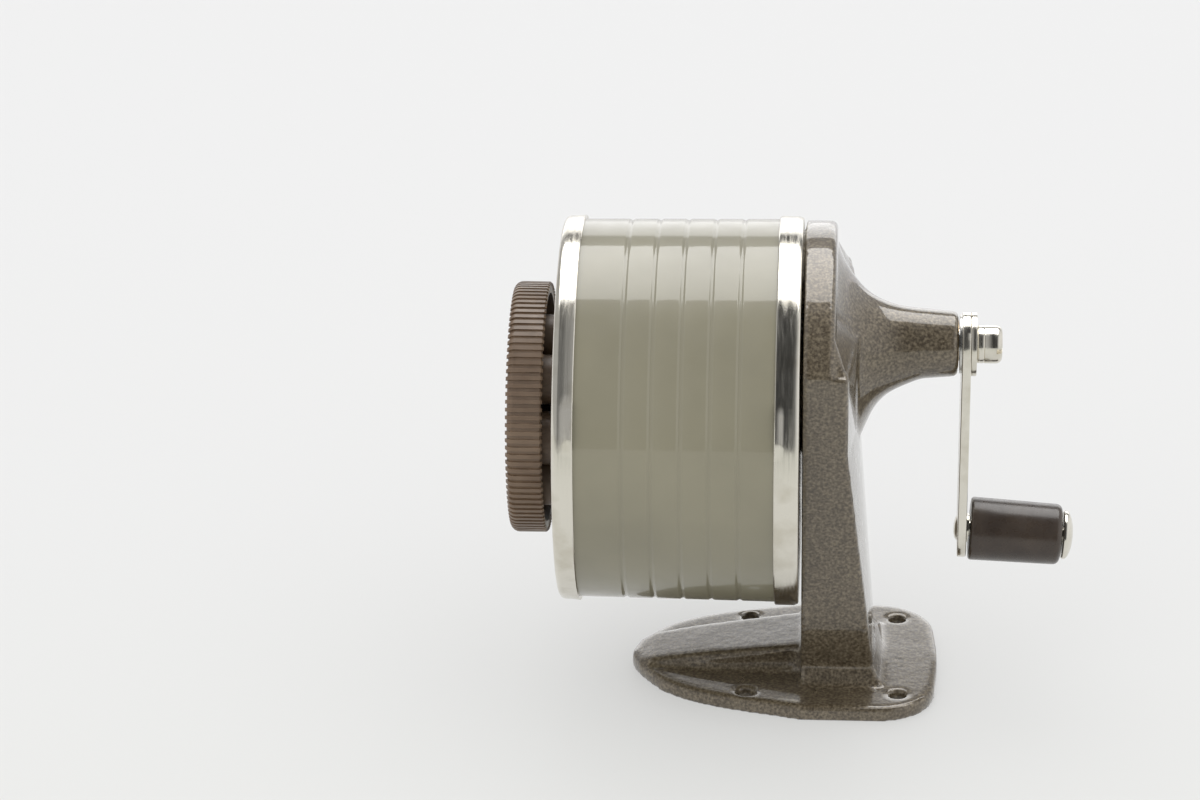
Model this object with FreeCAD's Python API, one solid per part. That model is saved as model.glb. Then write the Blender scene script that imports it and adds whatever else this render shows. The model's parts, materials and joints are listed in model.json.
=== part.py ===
"""Wall or desk pencil sharpener: a crank turns a planetary head of two helical cutters.

Millimetres, +Z up. The origin is the middle of the four base holes, on the underside.
+X runs along the cutter axis, from the pencil dial to the crank.
"""
import FreeCAD
import Part
import math
import os

V = FreeCAD.Vector
X_DIR = V(1, 0, 0)

# --- main axes -----------------------------------------------------------------------------
CUTTER_Z = 84.4            # height of the crank and cutter axis
DIAL_OFFSET = 17.5         # the drum and dial axis is this far below the cutter axis
DRUM_Z = CUTTER_Z - DIAL_OFFSET

# --- clearances ----------------------------------------------------------------------------
SLIP = 0.3                 # between the receptacle and the stand, and other moving faces
RUN = 0.05                 # radial running clearance of a shaft in its hole
TURN_GAP = 0.6             # around parts that turn inside a housing

# --- base ----------------------------------------------------------------------------------
PLATE_T = 3.5
HOLE_DX = 35.5             # base hole pattern along X
HOLE_DY = 39.0             # base hole pattern along Y
HOLE_R = 1.9
BASE_TIP_X = -45.3
BASE_HALF_Y = 27.2
BASE_STRAIGHT_X = 13.0     # the straight sides end here
BASE_CORNER_R = 13.5
BASE_BULGE = 0.7           # the rear edge bows out by this
BASE_ROUND = 1.0           # rounding of the plate's top edge
BASE_NOSE = ((-17.8, 0.875), (-28.4, 0.74), (-37.6, 0.52), (-42.0, 0.305))  # x, share of width
RIB_TOP_Z = 10.3           # height of the front rib where it meets the column
RIB_HALF_Y = 9.4
RIB_EDGE = 0.8             # chamfer along the top of the rib
RIB_LINE = ((0.0, 1.0, 0.0), (0.6, 0.68, 1.1), (0.87, 0.49, 1.8), (0.96, 0.35, 3.4))
# each entry above: share of the rib's length, share of its height, narrowing on each side
RIB_POCKET = 0.9           # depth of the pocket in each side of the rib
RIB_POCKET_WALL = 0.8      # from the pocket to the plate and twice that to the rib's top
RIB_POCKET_END = 0.62      # the pocket ends at this share of the rib's length

# --- column and head -----------------------------------------------------------------------
FACE_X = -5.0              # flat front face of the column and head
HEAD_R = 44.3              # round top of the head, about the drum axis
HEAD_T = 7.3               # thickness of the head at its rim
HEAD_EDGE = 1.6            # rounding of the rear rim
SHOULDER_ANGLE = 33.0      # where the round top turns into the straight sides, degrees
FOOT_Z = 7.5
FOOT_HALF_Y = 14.0
FOOT_BACK_X = 12.0         # rear edge of the column sides at the foot
NECK_BACK_X = 5.2          # rear edge of the column sides under the head
NECK_SPINE = 2.4           # the rear of the column bows out by this under the head
FOOT_SPINE = 0.4           # and by this at the foot
RAMP_H = 7.0               # the column's back slopes into the head over this height
RAMP_INSET = 0.7           # from the column's sides to the ramp
PLINTH_GROW = 3.2          # the plinth under the column is wider by this
PLINTH_STEP = 1.7          # height of the plinth's steep lower part
PLINTH_SHARE = 0.4         # part of PLINTH_GROW that is left above the steep part
BOSS_END_X = 30.3
BOSS_END_R = 7.5
BOSS_EDGE = 0.8
BOSS_NECK_X = 21.0
BOSS_NECK_R = 8.25
BOSS_FLARE = ((0.5, 26.6, 38.0), (2.4, 23.2, 33.5), (4.7, 18.1, 28.9), (7.0, 14.8, 24.9),
              (9.5, 12.2, 19.2), (12.5, 10.3, 13.6), (16.5, 8.9, 10.6),
              (21.0, 8.25, 8.5), (23.0, 8.0, 7.95))
# each entry above: x, then how far the flare reaches above and below the crank axis

# --- spigot, ring gear and bearing ---------------------------------------------------------
SPIGOT_R = 25.2
SPIGOT_FRONT_X = -12.9
GEAR_SEAT_R = 18.0
GEAR_BACK_X = -6.4
GEAR_FLANGE_R = 23.2
GEAR_FLANGE_T = 1.6
GEAR_SCREW_R = 1.25
GEAR_SCREW_RING = 20.8
GEAR_SCREW_L = 5.0
GEAR_SCREWS = 3
POCKET_FLOOR_X = -2.0
SHAFT_R = 4.0
BUSH_WALL = 1.5
CLIP_HALF_W = 3.5          # spring clips that steady the receptacle on the spigot
CLIP_T = 0.6
CLIPS = 3

# --- cutter head ---------------------------------------------------------------------------
CUTTER_TILT = 11.0         # degrees between a cutter axis and the crank axis
CUTTER_R = 8.2
CUTTER_L = 29.0
CUTTER_GAP = 0.34          # between the two cutters at the pencil point
CUTTER_TEETH = 16
CUTTER_CUT = 0.9           # depth of the cutter teeth
CUTTER_TWIST = 95.0        # degrees of twist over the length
PIN_R = 1.5
PINION_TEETH = 12
RING_TEETH = 30
PRESSURE_ANGLE = 20.0
GEAR_PLAY = 0.30           # backlash at the pitch circle
HEAD_CLEAR = 0.8           # from the ring gear to the cutters
HUB_T = 2.9
HUB_SEAT_R = 3.0           # the shaft steps down to this in the hub
ARM_HALF_Y = 4.0           # side arms of the cutter frame
ARM_OUT_Z = 13.0
FRAME_PLATE_T = 3.2
FRAME_PLATE_R = 20.0
NOSE_R = 7.6
NOSE_END_X = -57.0
PENCIL_BORE_R = 6.2

# --- receptacle ----------------------------------------------------------------------------
DRUM_FRONT_R = 43.95
DRUM_BACK_R = 44.46
DRUM_WALL = 0.6
BAND_FRONT_X = -61.0
FRONT_BAND_W = 4.9
FRONT_BAND_R = 44.86
REAR_BAND_W = 5.5
REAR_BAND_BACK_X = FACE_X - 0.6
REAR_BAND_R = 45.17
CAP_T = 0.8
CAP_EDGE = 2.0             # outer corner radius of the front cap
GROOVES = 5
GROOVE_PITCH = 6.56
GROOVE_LAST_X = -19.2
GROOVE_W = 1.7
GROOVE_DEPTH = 0.45
LIP_L = 3.2                # turned-in lip of the rear opening
LIP_T = 0.5
TABS = 3                   # stretches of each band's edge that are pressed outwards
TAB_ANGLE = 13.5           # degrees round the drum
TAB_L = 2.4
TAB_RISE = 0.6
TAB_START = 71.5           # degrees from the top towards -Y
CAP_HOLE_R = 7.0

# --- dial ----------------------------------------------------------------------------------
DIAL_R = 29.2
DIAL_FRONT_X = -72.2
DIAL_W = 7.8
DIAL_RIM_T = 2.6
DIAL_FACE_T = 2.4
DIAL_TUBE_WALL = 1.0
DIAL_HUB_R = 6.0
DIAL_RIDGES = 100
DIAL_RIDGE_H = 0.45
DIAL_HOLES = 8
DIAL_HOLE_MIN_R = 3.0
DIAL_HOLE_STEP = 0.35
DIAL_TOP_HOLE = 4          # which hole, counted from the smallest, stands at the top
DIAL_NOTCH_R = 1.0
RIVET_R = 2.5
RIVET_HEAD_R = 5.2

# --- crank ---------------------------------------------------------------------------------
ARM_X = 31.1
ARM_T = 2.1
ARM_L = 46.9
ARM_TOP_R = 7.4
ARM_END_R = 6.85
TANG = 5.6                 # square end of the shaft
LOCK_T = 1.3
LOCK_R = 7.4
SCREW_HEAD_R = 4.4
SCREW_HEAD_T = 5.9
SCREW_R = 2.0
SCREW_L = 11.0
SLOT_W = 1.1
SLOT_DEPTH = 1.4
KNOB_DROOP = 3.5           # degrees that the knob axis hangs outwards
KNOB_X = 34.0
KNOB_L = 21.4
KNOB_R = 7.4
KNOB_END_R = 7.1
KNOB_RIVET_R = 2.0
KNOB_RIVET_HEAD_R = 5.7
KNOB_RIVET_HEAD_T = 2.5
CLINCH_R = 3.2
CLINCH_T = 1.2

# --- places worked out from the sizes above -------------------------------------------------
TILT = math.radians(CUTTER_TILT)
PINION_CONE = math.atan(math.sin(TILT) / (RING_TEETH / PINION_TEETH - math.cos(TILT)))
RING_CONE = TILT + PINION_CONE
MODULE = 2 * math.sin(PINION_CONE) / PINION_TEETH      # per unit of cone distance
CUTTER_BACK = (CUTTER_R * math.cos(TILT) + CUTTER_GAP / 2) / math.sin(TILT)
CUTTER_FRONT = CUTTER_BACK + CUTTER_L
APEX_X = (SPIGOT_FRONT_X - HEAD_CLEAR + CUTTER_BACK * math.cos(TILT)
          - CUTTER_R * math.sin(TILT))
HUB_FRONT_X = GEAR_BACK_X + 0.5
HUB_BACK_X = HUB_FRONT_X + HUB_T
FRAME_BACK_X = (APEX_X - CUTTER_FRONT * math.cos(TILT) - CUTTER_R * math.sin(TILT)
                - TURN_GAP)
FRAME_FRONT_X = FRAME_BACK_X - FRAME_PLATE_T
DIAL_BACK_X = DIAL_FRONT_X + DIAL_W
RIVET_X = ARM_X + ARM_T
RIVET_Z = CUTTER_Z - ARM_L
BUSH_R = SHAFT_R + RUN + BUSH_WALL
OPENING_R = SPIGOT_R + SLIP


# --- shape helpers --------------------------------------------------------------------------
def disc(start_x, end_x, radius, z=CUTTER_Z, y=0.0):
    """Cylinder along X between two X values."""
    return Part.makeCylinder(radius, end_x - start_x, V(start_x, y, z), X_DIR)


def ring(start_x, end_x, outer, inner, z=CUTTER_Z):
    """Tube along X between two X values."""
    return disc(start_x, end_x, outer, z).cut(disc(start_x - 1, end_x + 1, inner, z))


def block(x, y, z):
    """Box between (low, high) pairs on each axis."""
    return Part.makeBox(x[1] - x[0], y[1] - y[0], z[1] - z[0], V(x[0], y[0], z[0]))


def polygon(points):
    """Closed wire through the points."""
    return Part.makePolygon(points + points[:1])


def turned(outline, z=CUTTER_Z):
    """Solid turned about an X axis line from an outline of (x, radius) points."""
    face = Part.Face(polygon([V(x, 0, z + radius) for x, radius in outline]))
    return face.revolve(V(0, 0, z), X_DIR, 360)


def around(shape, count, z=CUTTER_Z, start=0.0):
    """Copies of a shape, evenly spaced about an X axis line."""
    copies = []
    for index in range(count):
        copy = shape.copy()
        copy.rotate(V(0, 0, z), X_DIR, start + index * 360.0 / count)
        copies.append(copy)
    return copies


def fuse(shapes):
    """One solid from overlapping shapes, with no seams left between flush faces."""
    return shapes[0].multiFuse(shapes[1:]).removeSplitter()


# --- stand ----------------------------------------------------------------------------------
def base_plate():
    """Pointed plate with round rear corners and four screw holes."""
    side = [V(FACE_X, BASE_HALF_Y, 0)]
    side.extend(V(x, BASE_HALF_Y * share, 0) for x, share in BASE_NOSE)
    mirrored = [V(p.x, -p.y, 0) for p in reversed(side)]
    nose = Part.BSplineCurve()
    nose.interpolate(side + [V(BASE_TIP_X, 0, 0)] + mirrored)
    corner_y = BASE_HALF_Y - BASE_CORNER_R
    diagonal = BASE_CORNER_R * math.sqrt(0.5)
    back_x = BASE_STRAIGHT_X + BASE_CORNER_R
    edges = [nose.toShape()]
    for sign in (1, -1):
        straight_end = V(BASE_STRAIGHT_X, sign * BASE_HALF_Y, 0)
        middle = V(BASE_STRAIGHT_X + diagonal, sign * (corner_y + diagonal), 0)
        corner_end = V(back_x, sign * corner_y, 0)
        edges.append(Part.makeLine(V(FACE_X, sign * BASE_HALF_Y, 0), straight_end))
        edges.append(Part.Arc(straight_end, middle, corner_end).toShape())
    edges.append(Part.Arc(V(back_x, corner_y, 0), V(back_x + BASE_BULGE, 0, 0),
                          V(back_x, -corner_y, 0)).toShape())
    wire = Part.Wire(Part.__sortEdges__(edges))
    plate = Part.Face(wire).extrude(V(0, 0, PLATE_T))
    rim = [edge for edge in plate.Edges
           if edge.BoundBox.ZMin > PLATE_T - 0.01]
    plate = plate.makeFillet(BASE_ROUND, rim)
    for x in (-HOLE_DX / 2, HOLE_DX / 2):
        for y in (-HOLE_DY / 2, HOLE_DY / 2):
            plate = plate.cut(Part.makeCylinder(HOLE_R, PLATE_T + 2, V(x, y, -1)))
    return plate


def front_rib():
    """Sloping rib from the column to the tip of the base, with a pocket in each side."""
    length = BASE_TIP_X - FACE_X
    low = PLATE_T - 1
    wires = []
    for share, height, narrowing in RIB_LINE:
        x = FACE_X + share * length
        top = height * RIB_TOP_Z
        half = RIB_HALF_Y - narrowing
        flat = half - RIB_EDGE
        wires.append(polygon([V(x, -half - 0.5, low), V(x, half + 0.5, low),
                              V(x, half, top - RIB_EDGE), V(x, flat, top),
                              V(x, -flat, top), V(x, -half, top - RIB_EDGE)]))
    rib = Part.makeLoft(wires, True, True)
    pocket_x = FACE_X - 2 * RIB_POCKET_WALL
    pocket_low = PLATE_T + RIB_POCKET_WALL
    corners = [V(pocket_x, 0, pocket_low), V(pocket_x, 0, RIB_TOP_Z - 2 * RIB_POCKET_WALL),
               V(FACE_X + RIB_POCKET_END * length, 0, pocket_low)]
    for sign in (1, -1):
        pocket = Part.Face(polygon(corners)).extrude(V(0, sign * RIB_HALF_Y, 0))
        pocket.translate(V(0, sign * (RIB_HALF_Y - RIB_POCKET), 0))
        rib = rib.cut(pocket)
    return rib


def column_section(z, half, back_x, spine):
    """Flat-fronted section of the column at one height; its back bows out by spine."""
    corners = [V(back_x, half, z), V(FACE_X, half, z), V(FACE_X, -half, z), V(back_x, -half, z)]
    edges = [Part.makeLine(a, b) for a, b in zip(corners, corners[1:])]
    edges.append(Part.Arc(corners[3], V(back_x + spine, 0, z), corners[0]).toShape())
    return Part.Wire(edges)


def shoulder():
    """Half width and height of the corner between the round top and the straight sides."""
    angle = math.radians(SHOULDER_ANGLE)
    return HEAD_R * math.cos(angle), DRUM_Z + HEAD_R * math.sin(angle)


def column():
    """Tapering column from the foot to the head, with its plinth."""
    top_half, top_z = shoulder()
    neck_z = DRUM_Z + 2
    slope = (top_half - FOOT_HALF_Y) / (top_z - FOOT_Z)
    neck_half = FOOT_HALF_Y + slope * (neck_z - FOOT_Z)
    foot = column_section(FOOT_Z, FOOT_HALF_Y, FOOT_BACK_X, FOOT_SPINE)
    neck = column_section(neck_z, neck_half, NECK_BACK_X, NECK_SPINE)
    top = column_section(top_z, top_half, NECK_BACK_X, NECK_SPINE)
    shaft = Part.makeLoft([foot, neck, top], True, True)
    plinth = []
    low_z = PLATE_T - 0.5
    for z, grow in ((low_z, PLINTH_GROW), (low_z + PLINTH_STEP, PLINTH_GROW * PLINTH_SHARE)):
        plinth.append(column_section(z, FOOT_HALF_Y + grow, FOOT_BACK_X + grow, FOOT_SPINE))
    return fuse([shaft, Part.makeLoft(plinth + [foot], True, True)])


def shoulder_ramp():
    """Wedge that slopes from the back of the column into the head."""
    half, z = shoulder()
    end_z = z + RAMP_H
    end_half = math.sqrt(HEAD_R ** 2 - (end_z - DRUM_Z) ** 2) - RAMP_INSET
    start = column_section(z - 1, half - RAMP_INSET, NECK_BACK_X - 0.05, NECK_SPINE - 0.1)
    end = column_section(end_z, end_half, FACE_X + HEAD_T - 0.3, 0.1)
    return Part.makeLoft([start, end], True, True)


def head_plate():
    """Round-topped plate behind the drum, with a rounded rear rim."""
    half, z = shoulder()
    low_half = half * 0.62
    low_z = DRUM_Z - HEAD_R * 0.3
    crown = Part.Arc(V(FACE_X, half, z), V(FACE_X, 0, DRUM_Z + HEAD_R),
                     V(FACE_X, -half, z)).toShape()
    lines = [Part.makeLine(V(FACE_X, -half, z), V(FACE_X, -low_half, low_z)),
             Part.makeLine(V(FACE_X, -low_half, low_z), V(FACE_X, low_half, low_z)),
             Part.makeLine(V(FACE_X, low_half, low_z), V(FACE_X, half, z))]
    plate = Part.Face(Part.Wire([crown] + lines)).extrude(V(HEAD_T, 0, 0))
    rim = [edge for edge in plate.Edges
           if edge.BoundBox.XMin > FACE_X + HEAD_T - 0.01 and edge.BoundBox.ZMax > z + 1]
    return plate.makeFillet(HEAD_EDGE, rim)


def oval(x, above, below, half):
    """Oval section of the boss flare at one X, sized from the crank axis."""
    points = []
    for step in range(24):
        angle = 2 * math.pi * step / 24
        height = (above - below) / 2 + (above + below) / 2 * math.cos(angle)
        points.append(V(x, half * math.sin(angle), CUTTER_Z + height))
    curve = Part.BSplineCurve()
    curve.interpolate(points, PeriodicFlag=True)
    return Part.Wire(curve.toShape())


def boss():
    """Crank boss, with a flare into the head that reaches further down than up."""
    flare = Part.makeLoft([oval(x, above, below, above) for x, above, below in BOSS_FLARE],
                          True, False)
    barrel = turned([(FACE_X + 1, 0), (FACE_X + 1, BOSS_NECK_R), (BOSS_NECK_X, BOSS_NECK_R),
                     (BOSS_END_X - BOSS_EDGE, BOSS_END_R),
                     (BOSS_END_X, BOSS_END_R - BOSS_EDGE), (BOSS_END_X, 0)])
    return fuse([barrel, flare])


def stand_casting():
    """Base, column, head, boss and spigot, cast in one piece."""
    spigot = disc(SPIGOT_FRONT_X, FACE_X + 1, SPIGOT_R)
    casting = fuse([base_plate(), front_rib(), column(), shoulder_ramp(), head_plate(), boss(),
                    spigot])
    casting = casting.cut(disc(SPIGOT_FRONT_X - 1, GEAR_BACK_X, GEAR_SEAT_R))
    casting = casting.cut(disc(SPIGOT_FRONT_X - 1, SPIGOT_FRONT_X + GEAR_FLANGE_T, GEAR_FLANGE_R))
    casting = casting.cut(disc(GEAR_BACK_X - 1, POCKET_FLOOR_X, pocket_radius()))
    casting = casting.cut(disc(POCKET_FLOOR_X - 1, BOSS_END_X + 1, BUSH_R))
    for screw in gear_screw_shanks():
        casting = casting.cut(screw)
    for seat in clip_seats():
        casting = casting.cut(seat)
    return casting


def pocket_radius():
    """Radius of the pocket in which the hub of the cutter frame turns."""
    return hub_radius() + TURN_GAP


def shaft_bush():
    """Bearing sleeve for the crank shaft."""
    return ring(POCKET_FLOOR_X, BOSS_END_X, BUSH_R, SHAFT_R + RUN)


def clip_seats():
    """Slots in the spigot that hold the spring clips."""
    seat = block((SPIGOT_FRONT_X - 1, FACE_X), (-CLIP_HALF_W, CLIP_HALF_W),
                 (CUTTER_Z + SPIGOT_R - CLIP_T, CUTTER_Z + SPIGOT_R + 2))
    return around(seat, CLIPS, start=60)


def receptacle_clips():
    """Spring strips let into the spigot, each with a low hump."""
    floor = CUTTER_Z + SPIGOT_R - CLIP_T
    top = CUTTER_Z + SPIGOT_R * math.cos(math.asin(CLIP_HALF_W / SPIGOT_R))
    side = polygon([V(SPIGOT_FRONT_X, -CLIP_HALF_W, floor), V(FACE_X, -CLIP_HALF_W, floor),
                    V(FACE_X, -CLIP_HALF_W, top), V(FACE_X - 2, -CLIP_HALF_W, top),
                    V(FACE_X - 4, -CLIP_HALF_W, top + 0.2), V(FACE_X - 6, -CLIP_HALF_W, top),
                    V(SPIGOT_FRONT_X, -CLIP_HALF_W, top)])
    strip = Part.Face(side).extrude(V(0, 2 * CLIP_HALF_W, 0))
    return Part.makeCompound(around(strip, CLIPS, start=60))


# --- gears ----------------------------------------------------------------------------------
def bevel_outline(teeth, cone, above, below, play):
    """Tooth outline of a bevel gear, as (slope from the apex, angle) pairs.

    The flanks are involutes on the back cone. above and below are in modules from the
    pitch cone; play is added to each flank's half angle, per unit of cone distance.
    """
    pitch = math.tan(cone)
    virtual_teeth = teeth / math.cos(cone)
    base = pitch * math.cos(math.radians(PRESSURE_ANGLE))
    start = math.tan(math.radians(PRESSURE_ANGLE))
    half_pitch = math.pi / (2 * virtual_teeth) + play / pitch + start - math.atan(start)
    root = pitch - below * MODULE
    tip = pitch + above * MODULE
    steps = 5
    flank = []
    if root < base:
        flank.append((root, half_pitch))
    low = max(root, base)
    for step in range(steps + 1):
        radius = low + (tip - low) * step / steps
        roll = math.sqrt(max((radius / base) ** 2 - 1, 0.0))
        flank.append((radius, half_pitch - roll + math.atan(roll)))
    outline = []
    for tooth in range(teeth):
        middle = 2 * math.pi * tooth / teeth
        for sign, points in ((-1, flank), (1, list(reversed(flank)))):
            for radius, half in points:
                lift = radius - pitch
                away = math.sin(cone) + lift * math.cos(cone)
                along = math.cos(cone) - lift * math.sin(cone)
                outline.append((away / along, middle + sign * half / math.cos(cone)))
    return outline


def bevel_solid(outline, near, far):
    """Toothed cone between two distances from the apex, standing on the apex along +Z."""
    wires = []
    for distance in (near, far):
        wires.append(polygon([V(distance * slope * math.cos(angle),
                                distance * slope * math.sin(angle), distance)
                              for slope, angle in outline]))
    return Part.makeLoft(wires, True, True)


def play_angle():
    """A quarter of the backlash, per unit of cone distance."""
    middle = (APEX_X - (SPIGOT_FRONT_X + GEAR_BACK_X) / 2) / math.cos(RING_CONE)
    return GEAR_PLAY / 4 / middle


def ring_tip_radius(x):
    """Inner radius of the ring gear at one X."""
    outline = bevel_outline(RING_TEETH, RING_CONE, 1.15, 0.55, play_angle())
    return (APEX_X - x) * min(slope for slope, angle in outline)


def pinion_tip_slope():
    """Slope of the pinion's tooth tips from the apex."""
    outline = bevel_outline(PINION_TEETH, PINION_CONE, 0.9, 0.85, -play_angle())
    return max(slope for slope, angle in outline)


def hub_radius():
    """Radius of the rear hub of the cutter frame."""
    hole = (APEX_X - HUB_FRONT_X) * math.tan(TILT)
    return hole + PIN_R + 2.6


def face_down_x(shape):
    """Stand a shape built along +Z on the cutter axis, with +Z turned to -X."""
    shape.rotate(V(0, 0, 0), V(0, 1, 0), -90)
    shape.translate(V(APEX_X, 0, CUTTER_Z))
    return shape


def ring_gear():
    """Fixed inner gear with a screw flange."""
    body = fuse([disc(SPIGOT_FRONT_X, GEAR_BACK_X, GEAR_SEAT_R),
                 disc(SPIGOT_FRONT_X, SPIGOT_FRONT_X + GEAR_FLANGE_T, GEAR_FLANGE_R)])
    outline = bevel_outline(RING_TEETH, RING_CONE, 1.15, 0.55, play_angle())
    outline = [(slope, angle + math.pi / 2) for slope, angle in outline]
    space = bevel_solid(outline, APEX_X - GEAR_BACK_X - 1, APEX_X - SPIGOT_FRONT_X + 1)
    gear = body.cut(face_down_x(space))
    for screw in gear_screw_shanks():
        gear = gear.cut(screw)
    return gear


def gear_screw_shanks():
    """Shanks of the ring gear screws; their holes are cut with the same shapes."""
    shank = disc(SPIGOT_FRONT_X - 0.1, SPIGOT_FRONT_X + GEAR_SCREW_L, GEAR_SCREW_R,
                 CUTTER_Z + GEAR_SCREW_RING)
    return around(shank, GEAR_SCREWS)


def ring_gear_screws():
    """Low slotted screws round the ring gear flange."""
    head_z = CUTTER_Z + GEAR_SCREW_RING
    head = disc(SPIGOT_FRONT_X - 1.0, SPIGOT_FRONT_X, 2.2, head_z)
    slot = block((SPIGOT_FRONT_X - 2, SPIGOT_FRONT_X - 0.5), (-3, 3), (head_z - 0.3, head_z + 0.3))
    heads = around(head.cut(slot), GEAR_SCREWS)
    return Part.makeCompound([fuse([a, b]) for a, b in zip(heads, gear_screw_shanks())])


# --- cutter head ----------------------------------------------------------------------------
def on_planet(shape, side):
    """Move a shape built along +Z from the apex onto the cutter axis on the +Y or -Y side."""
    shape = face_down_x(shape)
    shape.rotate(V(APEX_X, 0, CUTTER_Z), X_DIR, -90 * side)
    shape.rotate(V(APEX_X, 0, CUTTER_Z), V(0, 0, 1), -side * CUTTER_TILT)
    return shape


def pin_blank(side, radius, extra=0.0):
    """Cutter pin, or the hole for it when it is made longer by extra."""
    start = (APEX_X - HUB_BACK_X + 0.3) / math.cos(TILT) - extra
    end = (APEX_X - FRAME_FRONT_X - 0.3) / math.cos(TILT) + extra
    pin = Part.makeCylinder(radius, end - start, V(0, 0, start))
    return on_planet(pin, side)


def cutter_pins():
    """Fixed pins on which the two cutters turn."""
    return Part.makeCompound([pin_blank(1, PIN_R), pin_blank(-1, PIN_R)])


def cutter(side):
    """Helical milling cutter with saw-shaped teeth and a bore for its pin."""
    sections = 8
    wires = []
    for index in range(sections + 1):
        share = index / sections
        twist = math.radians(side * CUTTER_TWIST * share)
        z = CUTTER_BACK + CUTTER_L * share
        points = []
        for tooth in range(CUTTER_TEETH):
            angle = 2 * math.pi * tooth / CUTTER_TEETH + twist
            step = 2 * math.pi / CUTTER_TEETH
            for radius, turn in ((CUTTER_R, 0.0), (CUTTER_R, 0.16 * step),
                                 (CUTTER_R - CUTTER_CUT, 0.4 * step)):
                points.append(V(radius * math.cos(angle + turn),
                                radius * math.sin(angle + turn), z))
        wires.append(polygon(points))
    body = Part.makeLoft(wires, True, True)
    bore = Part.makeCylinder(PIN_R + RUN, CUTTER_L + 2, V(0, 0, CUTTER_BACK - 1))
    return on_planet(body.cut(bore), side)


def pinion(side):
    """Bevel pinion that rolls in the ring gear, on the same pin as its cutter."""
    slope = pinion_tip_slope()
    reach = APEX_X - GEAR_BACK_X + SLIP
    near = reach / (math.cos(TILT) - slope * math.sin(TILT))
    outline = bevel_outline(PINION_TEETH, PINION_CONE, 0.9, 0.85, -play_angle())
    body = bevel_solid(outline, near, CUTTER_BACK)
    bore = Part.makeCylinder(PIN_R + RUN, CUTTER_BACK, V(0, 0, 1))
    return on_planet(body.cut(bore), side)


def cutter_frame():
    """Carrier of the cutters: rear hub, two stepped arms, front plate and pencil nose."""
    web_front = APEX_X - CUTTER_BACK * math.cos(TILT)
    web_back = SPIGOT_FRONT_X - 0.5
    gear_in = CUTTER_BACK * pinion_tip_slope() + TURN_GAP
    room = ring_tip_radius(GEAR_BACK_X) - SLIP - 0.1
    gear_out = math.sqrt(room ** 2 - ARM_HALF_Y ** 2)
    inset = (CUTTER_BACK * math.sin(TILT) - ARM_HALF_Y) * math.cos(TILT)
    cutter_in = math.sqrt(CUTTER_R ** 2 - inset ** 2) + TURN_GAP
    pieces = [disc(HUB_FRONT_X, HUB_BACK_X, hub_radius()),
              disc(FRAME_FRONT_X, FRAME_BACK_X, FRAME_PLATE_R),
              disc(NOSE_END_X, FRAME_FRONT_X + 1, NOSE_R)]
    for sign in (1, -1):
        spans = (((web_front, HUB_BACK_X - 0.5), gear_in, gear_out),
                 ((web_front, web_back), gear_in, ARM_OUT_Z),
                 ((FRAME_BACK_X - 0.5, web_back), cutter_in, ARM_OUT_Z))
        for x, low, high in spans:
            z = sorted((CUTTER_Z + sign * low, CUTTER_Z + sign * high))
            pieces.append(block(x, (-ARM_HALF_Y, ARM_HALF_Y), z))
    frame = fuse(pieces)
    frame = frame.cut(disc(HUB_FRONT_X - 1, HUB_BACK_X + 1, HUB_SEAT_R))
    frame = frame.cut(disc(NOSE_END_X - 1, FRAME_BACK_X + 1, PENCIL_BORE_R))
    for side in (1, -1):
        frame = frame.cut(pin_blank(side, PIN_R, 2.0))
    return frame


def hub_washer():
    """Thrust washer behind the hub of the cutter frame."""
    return ring(HUB_BACK_X, POCKET_FLOOR_X - SLIP, hub_radius() - 1, SHAFT_R + RUN)


# --- crank ----------------------------------------------------------------------------------
def crank_shaft():
    """Shaft from the cutter frame to the crank arm, with a square end and a tapped hole."""
    half = TANG / 2
    shaft = fuse([disc(HUB_FRONT_X, HUB_BACK_X, HUB_SEAT_R), disc(HUB_BACK_X, ARM_X, SHAFT_R),
                  block((ARM_X - 1, RIVET_X - 0.1), (-half, half),
                        (CUTTER_Z - half, CUTTER_Z + half))])
    return shaft.cut(disc(RIVET_X - SCREW_L, RIVET_X + 1, SCREW_R))


def drooped(shape):
    """Tip a shape on the knob axis down at its outer end."""
    shape.rotate(V(RIVET_X, 0, RIVET_Z), V(0, 1, 0), KNOB_DROOP)
    return shape


def crank_arm():
    """Flat arm with round ends, a square hole for the shaft and a hole for the knob rivet."""
    rise = math.asin((ARM_TOP_R - ARM_END_R) / ARM_L)
    corners = []
    for sign in (1, -1):
        top = V(ARM_X, sign * ARM_TOP_R * math.cos(rise), CUTTER_Z - ARM_TOP_R * math.sin(rise))
        end = V(ARM_X, sign * ARM_END_R * math.cos(rise), RIVET_Z - ARM_END_R * math.sin(rise))
        corners.extend([top, end] if sign > 0 else [end, top])
    edges = [Part.makeLine(corners[0], corners[1]),
             Part.Arc(corners[1], V(ARM_X, 0, RIVET_Z - ARM_END_R), corners[2]).toShape(),
             Part.makeLine(corners[2], corners[3]),
             Part.Arc(corners[3], V(ARM_X, 0, CUTTER_Z + ARM_TOP_R), corners[0]).toShape()]
    plate = Part.Face(Part.Wire(edges)).extrude(V(ARM_T, 0, 0))
    plate = plate.makeFillet(0.35, [edge for edge in plate.Edges if edge.BoundBox.XLength < 0.01])
    half = TANG / 2
    plate = plate.cut(block((ARM_X - 1, RIVET_X + 1), (-half, half),
                            (CUTTER_Z - half, CUTTER_Z + half)))
    return plate.cut(drooped(disc(ARM_X - 3, RIVET_X + 3, KNOB_RIVET_R, RIVET_Z)))


def arm_washer():
    """Thin washer between the boss and the crank arm."""
    return ring(BOSS_END_X + SLIP, ARM_X, ARM_TOP_R - 0.6, SHAFT_R + RUN)


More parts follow.
